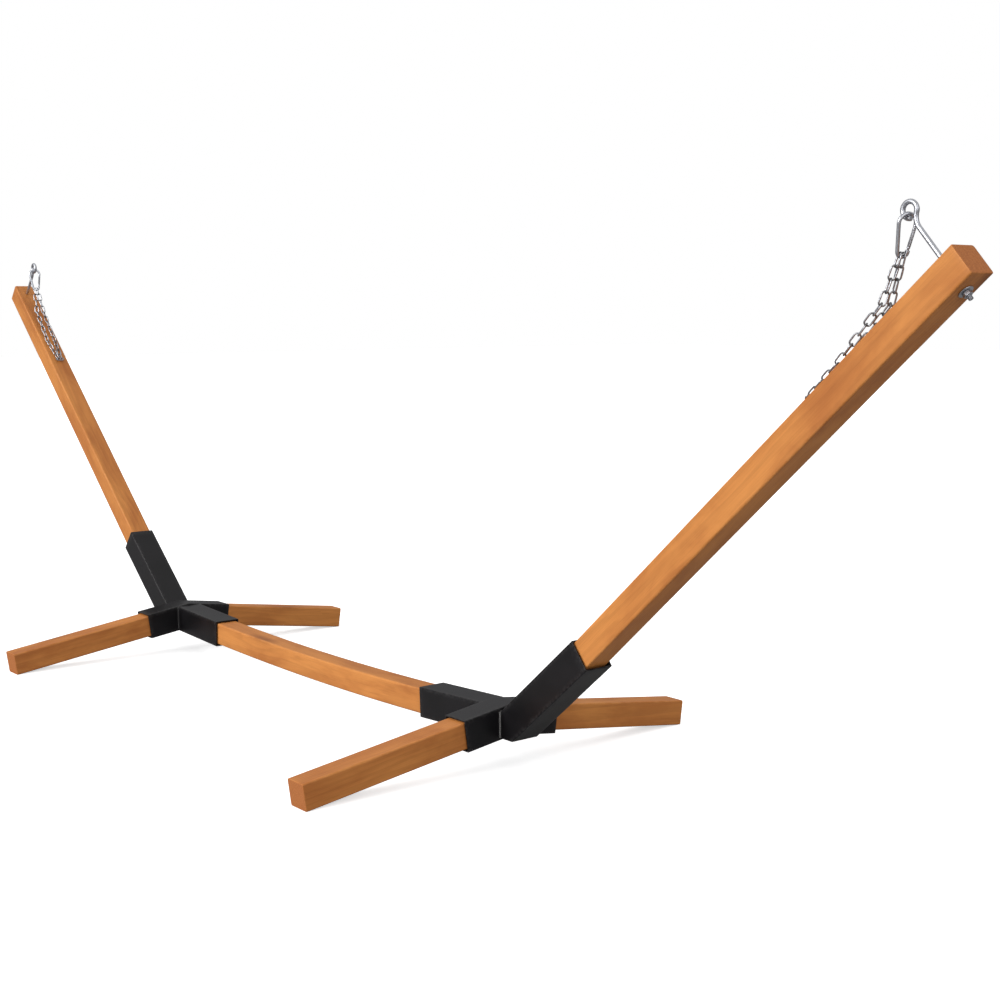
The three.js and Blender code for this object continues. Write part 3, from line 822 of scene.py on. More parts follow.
def gate_surface():
    """The gate: a rod with a crossed knurl, eased at both ends, and a flat tongue for the pin.

    The knurl lifts the radius by k sin(a s + n t) sin(a s - n t), a diamond pattern.
    """
    h = hardware()
    low, high = FORK_END + 2 * MM, gate_span() - NOSE_STEP - GAP
    path = line_points(gate_line(low), gate_line(high), 190)
    s = np.linspace(0, high - low, 190)
    t = round_angles(36)
    a = 2 * math.pi / (3.4 * MM)
    knurl = np.sin(a * s[:, None] + 6 * t[None]) * np.sin(a * s[:, None] - 6 * t[None])
    band = np.clip(np.minimum(s - 2.5 * MM, high - low - 2.5 * MM - s) / (1 * MM), 0, 1)[:, None]
    radius = h.gate_wire / 2 - 0.12 * MM + 0.22 * MM * knurl * band
    radius = radius * drawn_in(s, 0.7 * MM, 0.5)[:, None]
    rings = wire_rings(path, radius, 36)
    # The knurled band is darkened, most in the knurl's hollows: painted shade there.
    dirt = np.clip(0.55 - 0.5 * knurl, 0, 1) * band
    surface = Surface().rings(rings, dirt=np.broadcast_to(dirt, rings.shape[:2]))
    tongue = joined(
        line_points(gate_line(PIN_UP - 2.2 * MM), gate_line(PIN_UP), 6),
        line_points(gate_line(PIN_UP), gate_line(FORK_END + 4 * MM), 8),
    )
    shaped = flattened(tongue, 1.1 * MM, 2.2 * MM)
    return surface.rings(shaped, dirt=np.full(shaped.shape[:2], 0.4))


def pin_surface():
    """The gate's rivet across the fork, with a low domed head at each end."""
    r, half = 1.1 * MM, hardware().hook_wire / 2 + 0.35 * MM
    head = 1.75 * MM
    profile = [
        (0.05 * head, -half - 0.55 * MM),
        (0.7 * head, -half - 0.4 * MM),
        (head, -half),
        (r, -half + 0.05 * MM),
        (r, half - 0.05 * MM),
        (head, half),
        (0.7 * head, half + 0.4 * MM),
        (0.05 * head, half + 0.55 * MM),
    ]
    rings = lathe(profile, 24)
    x, z = gate_line(PIN_UP)
    rings = placed(rings, shift(x, 0, z) @ turn(0, math.pi / 2))
    return Surface().rings(rings, dirt=np.full(rings.shape[:2], 0.2))


# ---- Chain ---------------------------------------------------------------------------------------
# How deep neighbours in a run bite, how far a chain drops from what it hangs on, and the slack at a hinge.
BITE = 0.2 * MM
HANG_GAP = 1.7 * MM
HINGE_GAP = 1 * MM
RUNS = ("upper", "middle", "lower")
# Degrees by which a run draws away from the middle, and each run's share of the fall to the mast's face.
SPREAD = {"upper": 6.5, "middle": 0.7}
SHARE = {"upper": 0.7, "middle": 0.3, "lower": 0.0}
# Where each strand ends beside the mast's middle, and how its first and last links are turned.
STRAND_END = 4.5 * MM
ROLL_START = {-1: math.radians(121), 1: math.radians(104)}
ROLL_END = math.pi


def link_rings():
    """A welded link in the XY plane, long along X: a circle of wire whose halves are drawn apart.

    Its middle line is (r cos t + d sign(cos t), r sin t), and the wire swells a little at the weld.
    """
    h = hardware()
    radius = (h.link_width - h.link_wire) / 2
    spread = (h.link_pitch + h.link_wire) / 2 - radius
    count = 11
    half = np.linspace(-math.pi / 2, math.pi / 2, count)
    t = np.concatenate((half, half + math.pi))
    drawn = np.repeat((spread, -spread), count)
    path = np.stack((radius * np.cos(t) + drawn, radius * np.sin(t), np.zeros(2 * count)), -1)
    first, second = path[:count], path[count:]
    extra = np.linspace(0, 1, 6)[1:-1, None]
    top = first[-1] + extra * (second[0] - first[-1])
    bottom = second[-1] + extra * (first[0] - second[-1])
    path = np.concatenate((first, top, second, bottom))
    outward = path.copy()
    outward[:, 0] -= np.clip(path[:, 0], -spread, spread)
    outward /= np.linalg.norm(outward, axis=1, keepdims=True)
    swell = 1 + 0.16 * np.exp(-(((path[:, 0]) / (1.3 * MM)) ** 2)) * (path[:, 1] > 0)
    unit = circle(12)
    up = np.array((0, 0, 1.0))
    wire = h.link_wire / 2 * swell
    section = unit[None, :, :1] * outward[:, None] + unit[None, :, 1:] * up
    rings = path[:, None] + wire[:, None, None] * section
    # The wire runs round counterclockwise, so its sections turn from outward towards -Z.
    return rings[:, ::-1]


def run_links():
    """How many links each run has."""
    h = hardware()
    return h.upper_links, h.middle_links, h.lower_links


def first_link(run):
    """The first link's middle past its hinge."""
    h = hardware()
    if run == 0:
        return h.link_pitch / 2 - h.hook_wire / 2 - HANG_GAP
    return (h.link_pitch + h.link_wire) / 2


def run_length(run):
    """Hinge of one run to the hinge of the next."""
    h = hardware()
    rest = (run_links()[run] - 1) * (h.link_pitch + BITE) + (h.link_pitch - h.link_wire) / 2
    return first_link(run) + rest - HINGE_GAP


def hook_frame(side):
    """The snap hook's frame in the bracket's frame."""
    h = hardware()
    x, z = eye()
    centre = placed(np.array((x, 0, z)), mast_frame())
    return shift(*centre) @ turn(1, h.hook_lean) @ turn(2, side * math.pi / 2 - h.hook_turn)


def strand_frames(side):
    """Frames of the three runs of both strands, and of the end link, in the bracket's frame.

    Each run slopes by the arcsine of its share of the fall to the mast's face over its own length, and
    the lower run turns in until the strands nearly meet.
    """
    h = hardware()
    _, narrow, _ = hook_sizes()
    top = h.link_wire + GAP
    sag = h.hook_narrow - math.sqrt(h.hook_narrow**2 - top**2)
    mast = mast_frame()
    back = np.linalg.inv(mast) @ hook_frame(side)
    frames, ends = {}, []
    for y in (-1, 1):
        at = placed(np.array((y * side * top, 0, narrow - h.hook_narrow + sag)), back)
        fall = at[2] - sizes().timber / 2 - h.link_width / 2 - HINGE_GAP
        for k, run in enumerate(RUNS):
            slope = math.asin(SHARE[run] * fall / run_length(k))
            closing = (STRAND_END - abs(at[1])) / (run_length(k) * math.cos(slope))
            spread = math.asin(closing) if run == "lower" else math.radians(SPREAD[run])
            piece = shift(*at) @ turn(2, math.pi - y * spread) @ turn(1, slope)
            frames[run, y] = mast @ piece
            at = at + piece[:3, 0] * run_length(k)
        ends.append(at)
    middle = (ends[0] + ends[1]) / 2
    frames["end"] = mast @ shift(*middle) @ turn(2, math.pi)
    return frames


def chain_surface(run, side):
    """Both strands of one run; each link is turned a quarter and the strand's twist from the last."""
    h = hardware()
    k = RUNS.index(run)
    frames = strand_frames(side)
    link = link_rings()
    surface = Surface()
    total = sum(run_links()) - 1
    for y in (-1, 1):
        twist = (ROLL_END - ROLL_START[y]) / total
        for i in range(run_links()[k]):
            count = sum(run_links()[:k]) + i
            roll = ROLL_START[y] + count * (math.pi / 2 + twist)
            along = first_link(k) + i * (h.link_pitch + BITE)
            matrix = frames[run, y] @ shift(along, 0, 0) @ turn(0, roll)
            add_link(surface, placed(link, matrix), link)
    if run == "lower":
        matrix = frames["end"] @ shift((h.link_width - h.link_wire) / 2 - HANG_GAP, 0, 0)
        add_link(surface, placed(link, matrix @ turn(2, math.pi / 2)), link)
    return surface


def add_link(surface, rings, plain):
    """Adds a link, painted darker at both ends where its neighbours pass through: painted shade between
    the links.
    """
    h = hardware()
    # Painted shade: both ends of the link, where the neighbouring links sit, are darkened.
    wear_and_shade = np.clip((np.abs(plain[..., 0]) - 0.32 * h.link_pitch) / (0.18 * h.link_pitch), 0, 1)
    surface.rings(rings, closed=True, dirt=0.75 * wear_and_shade)


# ---- Screws --------------------------------------------------------------------------------------
def screw_rings():
    """Rings of a round-headed screw pointing up +Z, its head below zero, and how dark they are painted.

    The head is part of an ellipse with a cross sunk into its crown.
    """
    r, tall, shank = hardware().screw_head / 2, 3.4 * MM, 2.5 * MM
    count, head_rings = 48, 22
    inner = np.linspace(0.02, 1, head_rings)
    radius = np.concatenate((inner * r, (r, shank, shank, 0.1 * MM)))
    dome = -tall * np.sqrt(np.clip(1 - inner**2 * 0.86, 0, 1))
    height = np.concatenate((dome, (-0.1 * MM, -0.1 * MM, 31.5 * MM, 34 * MM)))
    unit = circle(count)
    flat = radius[:, None, None] * unit[None]
    z = np.broadcast_to(height[:, None], flat.shape[:2]).copy()
    arm = np.minimum(np.abs(flat[..., 0]), np.abs(flat[..., 1]))
    reach = np.abs(flat).max(-1)
    sunk = np.clip((0.75 * MM - arm) / (0.3 * MM), 0, 1)
    sunk *= np.clip((2.9 * MM - reach) / (0.5 * MM), 0, 1)
    sunk[head_rings:] = 0
    z += 1.7 * MM * sunk
    # The head is darkened a little all over, and most in the sunk cross: painted shade in the recess.
    return np.concatenate((flat, z[..., None]), -1), 0.25 + 0.6 * sunk


def add_screw(surface, along, face, matrix):
    """A screw on a socket's face: 0 is the underside, +1 and -1 its sides."""
    rings, dirt = screw_rings()
    seat = turn(0, face * math.pi / 2) @ shift(0, 0, -shell() - GAP)
    surface.rings(placed(rings, matrix @ shift(along, 0, 0) @ seat), dirt=dirt)


# ---- Materials -----------------------------------------------------------------------------------
RUBBED_WOOD = (0.70, 0.32, 0.11)
SAWN_SHADOW = (0.38, 0.128, 0.037)
DUSTY_PAINT = (0.0075, 0.0065, 0.0078)
RUBBED_PAINT = (0.105, 0.1, 0.1)
BARE_WELD = (0.2, 0.195, 0.19)
DULL_ZINC = (0.42, 0.43, 0.46)


class Nodes:
    """Short ways to add nodes to one tree."""

    def __init__(self, tree):
        self.tree = tree

    def add(self, kind, inputs=None, **settings):
        """Adds a node, sets its properties and fills its inputs with values or links."""
        node = self.tree.nodes.new(kind)
        for key, value in settings.items():
            setattr(node, key, value)
        for key, value in (inputs or {}).items():
            socket = node.inputs[key]
            if isinstance(value, bpy.types.NodeSocket):
                self.tree.links.new(value, socket)
            else:
                socket.default_value = value
        return node

    def math(self, operation, a, b=0.0, clamp=False):
        """A Math node's result."""
        return self.add("ShaderNodeMath", {0: a, 1: b}, operation=operation, use_clamp=clamp).outputs[0]

    def ramp(self, value, low, high, out_low=0.0, out_high=1.0):
        """A smooth step of a value between two limits."""
        node = self.add(
            "ShaderNodeMapRange",
            {"Value": value, "From Min": low, "From Max": high, "To Min": out_low, "To Max": out_high},
            interpolation_type="SMOOTHSTEP",
        )
        return node.outputs["Result"]

    def noise(self, vector, scale, detail=3.0, roughness=0.55, distortion=0.0):
        """A Noise node's factor."""
        node = self.add(
            "ShaderNodeTexNoise",
            {
                "Vector": vector,
                "Scale": scale,
                "Detail": detail,
                "Roughness": roughness,
                "Distortion": distortion,
            },
        )
        return node.outputs["Fac"]

    def mix(self, factor, a, b):
        """Two colours mixed."""
        node = self.add("ShaderNodeMix", data_type="RGBA")
        for socket, value in ((node.inputs[0], factor), (node.inputs[6], a), (node.inputs[7], b)):
            if isinstance(value, bpy.types.NodeSocket):
                self.tree.links.new(value, socket)
            elif socket.type == "RGBA":
                socket.default_value = (*value, 1.0)
            else:
                socket.default_value = value
        return node.outputs[2]

    def stretched(self, vector, scale):
        """A vector scaled axis by axis."""
        node = self.add("ShaderNodeVectorMath", {0: vector, 1: scale}, operation="MULTIPLY")
        return node.outputs[0]


def new_group(name, inputs, outputs):
    """A shader node group with named sockets, and its input and output nodes."""
    tree = bpy.data.node_groups.new(name, "ShaderNodeTree")
    for socket, kind, default in inputs:
        made = tree.interface.new_socket(socket, in_out="INPUT", socket_type=kind)
        if default is not None:
            made.default_value = default
    for socket, kind in outputs:
        tree.interface.new_socket(socket, in_out="OUTPUT", socket_type=kind)
    return tree, tree.nodes.new("NodeGroupInput"), tree.nodes.new("NodeGroupOutput")


def wood_figure_group():
    """Growth rings, long fibres and knots of a plank whose X axis is the grain."""
    tree, given, out = new_group(
        "wood_figure",
        [("Grain", "NodeSocketVector", None), ("Ring Spacing", "NodeSocketFloat", 0.006)],
        [
            ("Rings", "NodeSocketFloat"),
            ("Fibre", "NodeSocketFloat"),
            ("Patch", "NodeSocketFloat"),
            ("Knot", "NodeSocketFloat"),
        ],
    )
    n = Nodes(tree)
    grain = given.outputs["Grain"]
    # Knots: a few cells of a stretched cell pattern, each with a dark eye.
    cells = n.add(
        "ShaderNodeTexVoronoi",
        {"Vector": n.stretched(grain, (2.4, 9.0, 9.0)), "Scale": 1.0, "Randomness": 1.0},
    )
    chosen = n.add("ShaderNodeSeparateColor", {0: cells.outputs["Color"]}).outputs[0]
    pick = n.math("GREATER_THAN", chosen, 0.72)
    near = n.ramp(cells.outputs["Distance"], 0.22, 0.03)
    knot = n.math("MULTIPLY", near, pick)
    swirl = n.math("MULTIPLY", n.ramp(cells.outputs["Distance"], 0.5, 0.05), pick)
    # Rings: distance from a wandering pith, cut by the plank.
    parts = n.add("ShaderNodeSeparateXYZ", {0: grain})
    sway = n.noise(n.stretched(grain, (1.1, 1.0, 1.0)), 1.0, 2.0)
    bend = n.math("MULTIPLY", n.math("SUBTRACT", sway, 0.5), 0.03)
    waver = n.noise(n.stretched(grain, (4, 60, 60)), 1.0, 3.0)
    ripple = n.math("MULTIPLY", n.math("SUBTRACT", waver, 0.5), 0.009)
    y = n.math("ADD", parts.outputs[1], bend)
    z = n.math("ADD", n.math("MULTIPLY", parts.outputs[2], 0.8), n.math("MULTIPLY", bend, 0.7))
    flat = n.add("ShaderNodeCombineXYZ", {0: y, 1: z, 2: 0.0}).outputs[0]
    distance = n.add("ShaderNodeVectorMath", {0: flat}, operation="LENGTH").outputs["Value"]
    distance = n.math("ADD", distance, n.math("ADD", ripple, n.math("MULTIPLY", swirl, 0.012)))
    count = n.math("DIVIDE", distance, given.outputs["Ring Spacing"])
    saw = n.math("FRACT", count)
    rings = n.math("MULTIPLY", n.ramp(saw, 0.15, 0.85), n.ramp(saw, 1.0, 0.9))
    fibre = n.noise(n.stretched(grain, (9.0, 620.0, 620.0)), 1.0, 3.0, 0.6)
    patch = n.noise(n.stretched(grain, (4.5, 13.0, 13.0)), 1.0, 4.0, 0.6, 0.5)
    for name, value in (("Rings", rings), ("Fibre", fibre), ("Patch", patch), ("Knot", knot)):
        tree.links.new(value, out.inputs[name])
    return tree


def rubbed_edge_group():
    """Breaks a clean edge mask into uneven rubbed patches."""
    tree, given, out = new_group(
        "rubbed_edge",
        [
            ("Mask", "NodeSocketFloat", 0.0),
            ("Scale", "NodeSocketFloat", 90.0),
            ("Amount", "NodeSocketFloat", 0.5),
        ],
        [("Wear", "NodeSocketFloat")],
    )
    n = Nodes(tree)
    place = n.add("ShaderNodeTexCoord").outputs["Object"]
    noise = n.add(
        "ShaderNodeTexNoise",
        {"Vector": place, "Scale": given.outputs["Scale"], "Detail": 4.0, "Roughness": 0.65},
    ).outputs["Fac"]
    worn = n.ramp(noise, 0.42, 0.62)
    full = n.math("MULTIPLY", n.math("MULTIPLY", worn, given.outputs["Mask"]), given.outputs["Amount"])
    tree.links.new(full, out.inputs["Wear"])
    return tree


def mottle_group():
    """Soft cloudy unevenness from -0.5 to 0.5 at two scales, for handled and weathered surfaces."""
    tree, given, out = new_group(
        "mottle",
        [("Broad", "NodeSocketFloat", 8.0), ("Fine", "NodeSocketFloat", 300.0)],
        [("Cloud", "NodeSocketFloat"), ("Speck", "NodeSocketFloat")],
    )
    n = Nodes(tree)
    place = n.add("ShaderNodeTexCoord").outputs["Object"]
    for scale, detail, socket in (("Broad", 4.0, "Cloud"), ("Fine", 2.0, "Speck")):
        noise = n.add(
            "ShaderNodeTexNoise", {"Vector": place, "Scale": given.outputs[scale], "Detail": detail}
        ).outputs["Fac"]
        tree.links.new(n.math("SUBTRACT", noise, 0.5), out.inputs[socket])
    return tree


def group(name, build):
    """A node group by name, made the first time it is asked for."""
    return bpy.data.node_groups.get(name) or build()


def new_material(name):
    """An empty material with its Principled shader."""
    material = bpy.data.materials.new(name)
    material.use_nodes = True
    shader = material.node_tree.nodes["Principled BSDF"]
    return material, Nodes(material.node_tree), shader


def attribute(n, name, output="Fac"):
    """A vertex value of the mesh."""
    return n.add("ShaderNodeAttribute", attribute_name=name).outputs[output]


def mottled(n, broad, fine):
    """Cloud and speck of the mottle group at two scales."""
    scales = {"Broad": broad, "Fine": fine}
    node = n.add("ShaderNodeGroup", scales, node_tree=group("mottle", mottle_group))
    return node.outputs["Cloud"], node.outputs["Speck"]


def rubbed(n, mask, scale, amount):
    """Wear of the rubbed edge group where a vertex value marks an edge."""
    values = {"Mask": attribute(n, mask), "Scale": scale, "Amount": amount}
    node = n.add("ShaderNodeGroup", values, node_tree=group("rubbed_edge", rubbed_edge_group))
    return node.outputs["Wear"]


def bumped(n, shader, height, strength, distance):
    """Feeds a height to the shader's normal through a Bump node."""
    bump = n.add("ShaderNodeBump", {"Height": height, "Strength": strength, "Distance": distance})
    n.tree.links.new(bump.outputs[0], shader.inputs["Normal"])


def timber_material():
    """Stained and oiled timber: figure along the grain, rubbed edges, and a darker sawn end."""
    if "stained_timber" in bpy.data.materials:
        return bpy.data.materials["stained_timber"]
    f = finishes()
    material, n, shader = new_material("stained_timber")
    grain = attribute(n, "grain", "Vector")
    tree = group("wood_figure", wood_figure_group)
    figure = n.add("ShaderNodeGroup", {"Grain": grain}, node_tree=tree)
    cloud, _ = mottled(n, 6.0, 420.0)
    patch = n.ramp(figure.outputs["Patch"], 0.3, 0.72)
    base = n.mix(patch, tuple(f.honey), tuple(f.amber))
    base = n.mix(n.math("MULTIPLY", figure.outputs["Rings"], 0.13), base, tuple(f.latewood))
    fibre = n.ramp(figure.outputs["Fibre"], 0.42, 0.75)
    base = n.mix(n.math("MULTIPLY", fibre, 0.17), base, tuple(f.latewood))
    base = n.mix(n.math("MULTIPLY", figure.outputs["Knot"], 0.62), base, tuple(f.latewood))
    base = n.mix(rubbed(n, "arris", 45.0, 0.2), base, RUBBED_WOOD)
    # Sawn end: redder and darker, with the marks of the blade across it.
    local = n.add("ShaderNodeTexCoord").outputs["Object"]
    tooth = n.noise(n.stretched(local, (260.0, 260.0, 900.0)), 1.0, 2.0)
    end = n.mix(n.ramp(tooth, 0.3, 0.7), tuple(f.end_grain), SAWN_SHADOW)
    end = n.mix(n.math("MULTIPLY", figure.outputs["Rings"], 0.14), end, tuple(f.latewood))
    cut = attribute(n, "cut_end")
    colour_out = n.mix(cut, base, end)
    links = material.node_tree.links
    links.new(colour_out, shader.inputs["Base Color"])
    rough = n.math("ADD", 0.5, n.math("MULTIPLY", cloud, 0.22))
    rough = n.math("ADD", rough, n.math("MULTIPLY", cut, 0.2), clamp=True)
    links.new(rough, shader.inputs["Roughness"])
    shader.inputs["Specular IOR Level"].default_value = 0.22
    height = n.math("MULTIPLY", figure.outputs["Fibre"], 0.5)
    height = n.math("ADD", height, n.math("MULTIPLY", figure.outputs["Rings"], 0.25))
    height = n.math("SUBTRACT", height, n.math("MULTIPLY", figure.outputs["Knot"], 0.4))
    height = n.math("ADD", height, n.math("MULTIPLY", n.math("MULTIPLY", tooth, cut), 0.8))
    bumped(n, shader, height, 0.35, 0.0006)
    return material


def paint_material():
    """Satin black powder coat with an orange-peel skin, a film of dust and rubbed edges."""
    if "black_powder_coat" in bpy.data.materials:
        return bpy.data.materials["black_powder_coat"]
    f = finishes()
    material, n, shader = new_material("black_powder_coat")
    cloud, speck = mottled(n, 14.0, 900.0)
    base = n.mix(n.ramp(cloud, -0.25, 0.3), tuple(f.paint), DUSTY_PAINT)
    base = n.mix(rubbed(n, "rubbed", 160.0, 0.16), base, RUBBED_PAINT)
    bare = n.math("MULTIPLY", attribute(n, "weld"), n.ramp(speck, -0.12, 0.08, 0.35, 1.0))
    base = n.mix(bare, base, BARE_WELD)
    links = material.node_tree.links
    links.new(base, shader.inputs["Base Color"])
    shader.inputs["Specular IOR Level"].default_value = 0.27
    rough = n.math("ADD", 0.36, n.math("MULTIPLY", cloud, 0.18))
    rough = n.math("ADD", rough, n.math("MULTIPLY", speck, 0.12))
    links.new(rough, shader.inputs["Roughness"])
    bumped(n, shader, speck, 0.25, 0.0003)
    return material


def zinc_material():
    """Bright zinc plate: clouded reflections; a vertex value dulls it and darkens it, standing for grime
    and for painted shade in hollows and where parts meet.
    """
    if "bright_zinc" in bpy.data.materials:
        return bpy.data.materials["bright_zinc"]
    f = finishes()
    material, n, shader = new_material("bright_zinc")
    cloud, speck = mottled(n, 60.0, 1500.0)
    dirt = attribute(n, "dirt")
    base = n.mix(n.ramp(cloud, -0.3, 0.3), tuple(f.zinc), DULL_ZINC)
    # Painted shade and grime: the vertex value darkens the zinc towards the dark colour, broken up by the
    # cloud.
    grime_and_shade_mix = n.math("MULTIPLY", dirt, n.ramp(cloud, -0.35, 0.1, 0.35, 1.0))
    base = n.mix(grime_and_shade_mix, base, tuple(f.grime_and_shade_colour))
    links = material.node_tree.links
    links.new(base, shader.inputs["Base Color"])
    shader.inputs["Metallic"].default_value = 1.0
    rough = n.math("ADD", 0.36, n.math("MULTIPLY", cloud, 0.16))
    rough = n.math("ADD", rough, n.math("MULTIPLY", dirt, 0.22), clamp=True)
    links.new(rough, shader.inputs["Roughness"])
    bumped(n, shader, speck, 0.12, 0.0002)
    return material


# ---- Operators -----------------------------------------------------------------------------------
class StandOperator:
    """What the operators share."""

    bl_options = {"REGISTER", "UNDO"}


class STAND_OT_feet(StandOperator, bpy.types.Operator):
    """Make the four splayed feet"""

    bl_idname = "stand.feet"
    bl_label = "Feet"

    def execute(self, context):
        for name, side in SIDES.items():
            for label, direction in ((f"front_{name}", -side), (f"back_{name}", side)):
                surface, matrix = foot_surface(direction, 11 + 3 * side + direction)
                base = bracket(side) @ matrix
                ground = (-np.inf, -np.inf, 0)
                surface.points = [np.maximum(placed(points, base), ground) for points in surface.points]
                nodes = [f"foot_{label}"]
                surface.make(f"timber_foot_{label}", timber_material(), "stand", "timber", nodes)
        return {"FINISHED"}


class STAND_OT_spine(StandOperator, bpy.types.Operator):
    """Make the bowed spine"""

    bl_idname = "stand.spine"
    bl_label = "Spine"

    def execute(self, context):
        reach = sizes().half_span - spine_gap()
        surface = timber(-reach, reach, 160, 5, bend=spine_bend)
        surface.make("timber_spine", timber_material(), "stand", "timber", ["spine"])
        return {"FINISHED"}


class STAND_OT_masts(StandOperator, bpy.types.Operator):
    """Make the two raked masts"""

    bl_idname = "stand.masts"
    bl_label = "Masts"

    def execute(self, context):
        s = sizes()
        for name, side in SIDES.items():
            surface = timber(s.mast_start, s.mast_top, 140, 30 + side)
            base = bracket(side) @ mast_frame()
            nodes = [f"mast_{name}"]
            surface.make(f"timber_mast_{name}", timber_material(), "stand", "timber", nodes, base)
        return {"FINISHED"}


class STAND_OT_brackets(StandOperator, bpy.types.Operator):
    """Make the two welded steel brackets"""

    bl_idname = "stand.brackets"
    bl_label = "Brackets"

    def execute(self, context):
        for name, side in SIDES.items():
            nodes = [f"foot_socket_front_{name}", f"foot_socket_back_{name}"]
            nodes += [f"spine_socket_{name}", f"mast_socket_{name}"]
            bracket_surface(50 + side).make(
                f"steel_bracket_{name}", paint_material(), "stand", "bracket_paint", nodes, bracket(side)
            )
        return {"FINISHED"}


class STAND_OT_screws(StandOperator, bpy.types.Operator):
    """Make the screws that hold the timbers in their sockets"""

    bl_idname = "stand.screws"
    bl_label = "Screws"

    def execute(self, context):
        s = sizes()
        for name, side in SIDES.items():
            base = bracket(side)
            for label, direction in ((f"front_{name}", -side), (f"back_{name}", side)):
                surface = Surface()
                matrix = turn(2, direction * math.pi / 2) @ turn(1, s.foot_drop)
                add_screw(surface, s.foot_socket - s.screw_from_mouth, 0, matrix)
                self.finish(surface, f"foot_screw_{label}", base)
            surface = Surface()
            matrix, _ = spine_tube_frame()
            add_screw(surface, -s.screw_from_mouth, 0, matrix)
            self.finish(surface, f"spine_screw_{name}", base)
            surface = Surface()
            add_screw(surface, -s.screw_from_mouth, side, mast_socket_frame())
            self.finish(surface, f"mast_screw_{name}", base)
        return {"FINISHED"}

    def finish(self, surface, node, base):
        """Makes one screw in place of its node."""
        surface.make(f"zinc_{node}", zinc_material(), "stand", "screw_zinc", [node], base)


class STAND_OT_eye_bolts(StandOperator, bpy.types.Operator):
    """Make the eye bolts with their washers and nuts"""

    bl_idname = "stand.eye_bolts"
    bl_label = "Eye Bolts"

    def execute(self, context):
        under = -sizes().timber / 2 - GAP
        for name, side in SIDES.items():
            base = bracket(side) @ mast_frame()
            eye_bolt_surface().make(
                f"zinc_eye_bolt_{name}", zinc_material(), "stand", "bolt_zinc", [f"eye_bolt_{name}"], base
            )
            for node, rings, top in (
                ("bolt_washer", washer_rings(), under),
                ("bolt_nut", nut_rings(), under - WASHER - GAP),
            ):
                shape = placed(rings, shift(bolt_at(), 0, top))
                surface = Surface().rings(shape, closed=True, dirt=np.full(rings.shape[:2], 0.12))
                surface.make(
                    f"zinc_{node}_{name}", zinc_material(), "stand", "bolt_zinc", [f"{node}_{name}"], base
                )
        return {"FINISHED"}


class STAND_OT_snap_hooks(StandOperator, bpy.types.Operator):
    """Make the snap hooks with their gates and pins"""

    bl_idname = "stand.snap_hooks"
    bl_label = "Snap Hooks"

    def execute(self, context):
        for name, side in SIDES.items():
            base = bracket(side) @ hook_frame(side)
            for node, surface, body in (
                ("snap_hook", hook_surface(), "hook"),
                ("gate_pin", pin_surface(), "hook"),
                ("snap_gate", gate_surface(), "gate"),
            ):
                nodes = [f"{node}_{name}"]
                surface.make(
                    f"zinc_{node}_{name}", zinc_material(), f"{body}_{name}", "hook_zinc", nodes, base
                )
        return {"FINISHED"}


class STAND_OT_chains(StandOperator, bpy.types.Operator):
    """Make the doubled chains link by link"""

    bl_idname = "stand.chains"
    bl_label = "Chains"

    def execute(self, context):
        for name, side in SIDES.items():
            for run in RUNS:
                nodes = [f"chain_{run}_front_{name}", f"chain_{run}_back_{name}"]
                if run == "lower":
                    nodes.append(f"chain_end_link_{name}")
                part = f"chain_{run}_{name}"
                surface = chain_surface(run, side)
                base, smooth = bracket(side), math.radians(60)
                surface.make(f"zinc_{part}", zinc_material(), part, "chain_zinc", nodes, base, smooth)
        return {"FINISHED"}


# How much light the floor throws back, and how white and how bright it is seen.
FLOOR_THROWN, FLOOR_SEEN, FLOOR_GLOW = 0.3, 0.88, 0.6
SURROUND_LOW, SURROUND_HIGH = (0.17, 0.17, 0.18), (0.72, 0.72, 0.72)
KEY_PLACE, FILL_PLACE = (-0.8, -3.9, 1.5), (3.9, -1.2, 1.4)
CAMERA_PLACE = (3.0874, -1.8990, 0.9038)
CAMERA_YAW, CAMERA_PITCH, CAMERA_ROLL = 0.9001, -0.1199, -0.0039


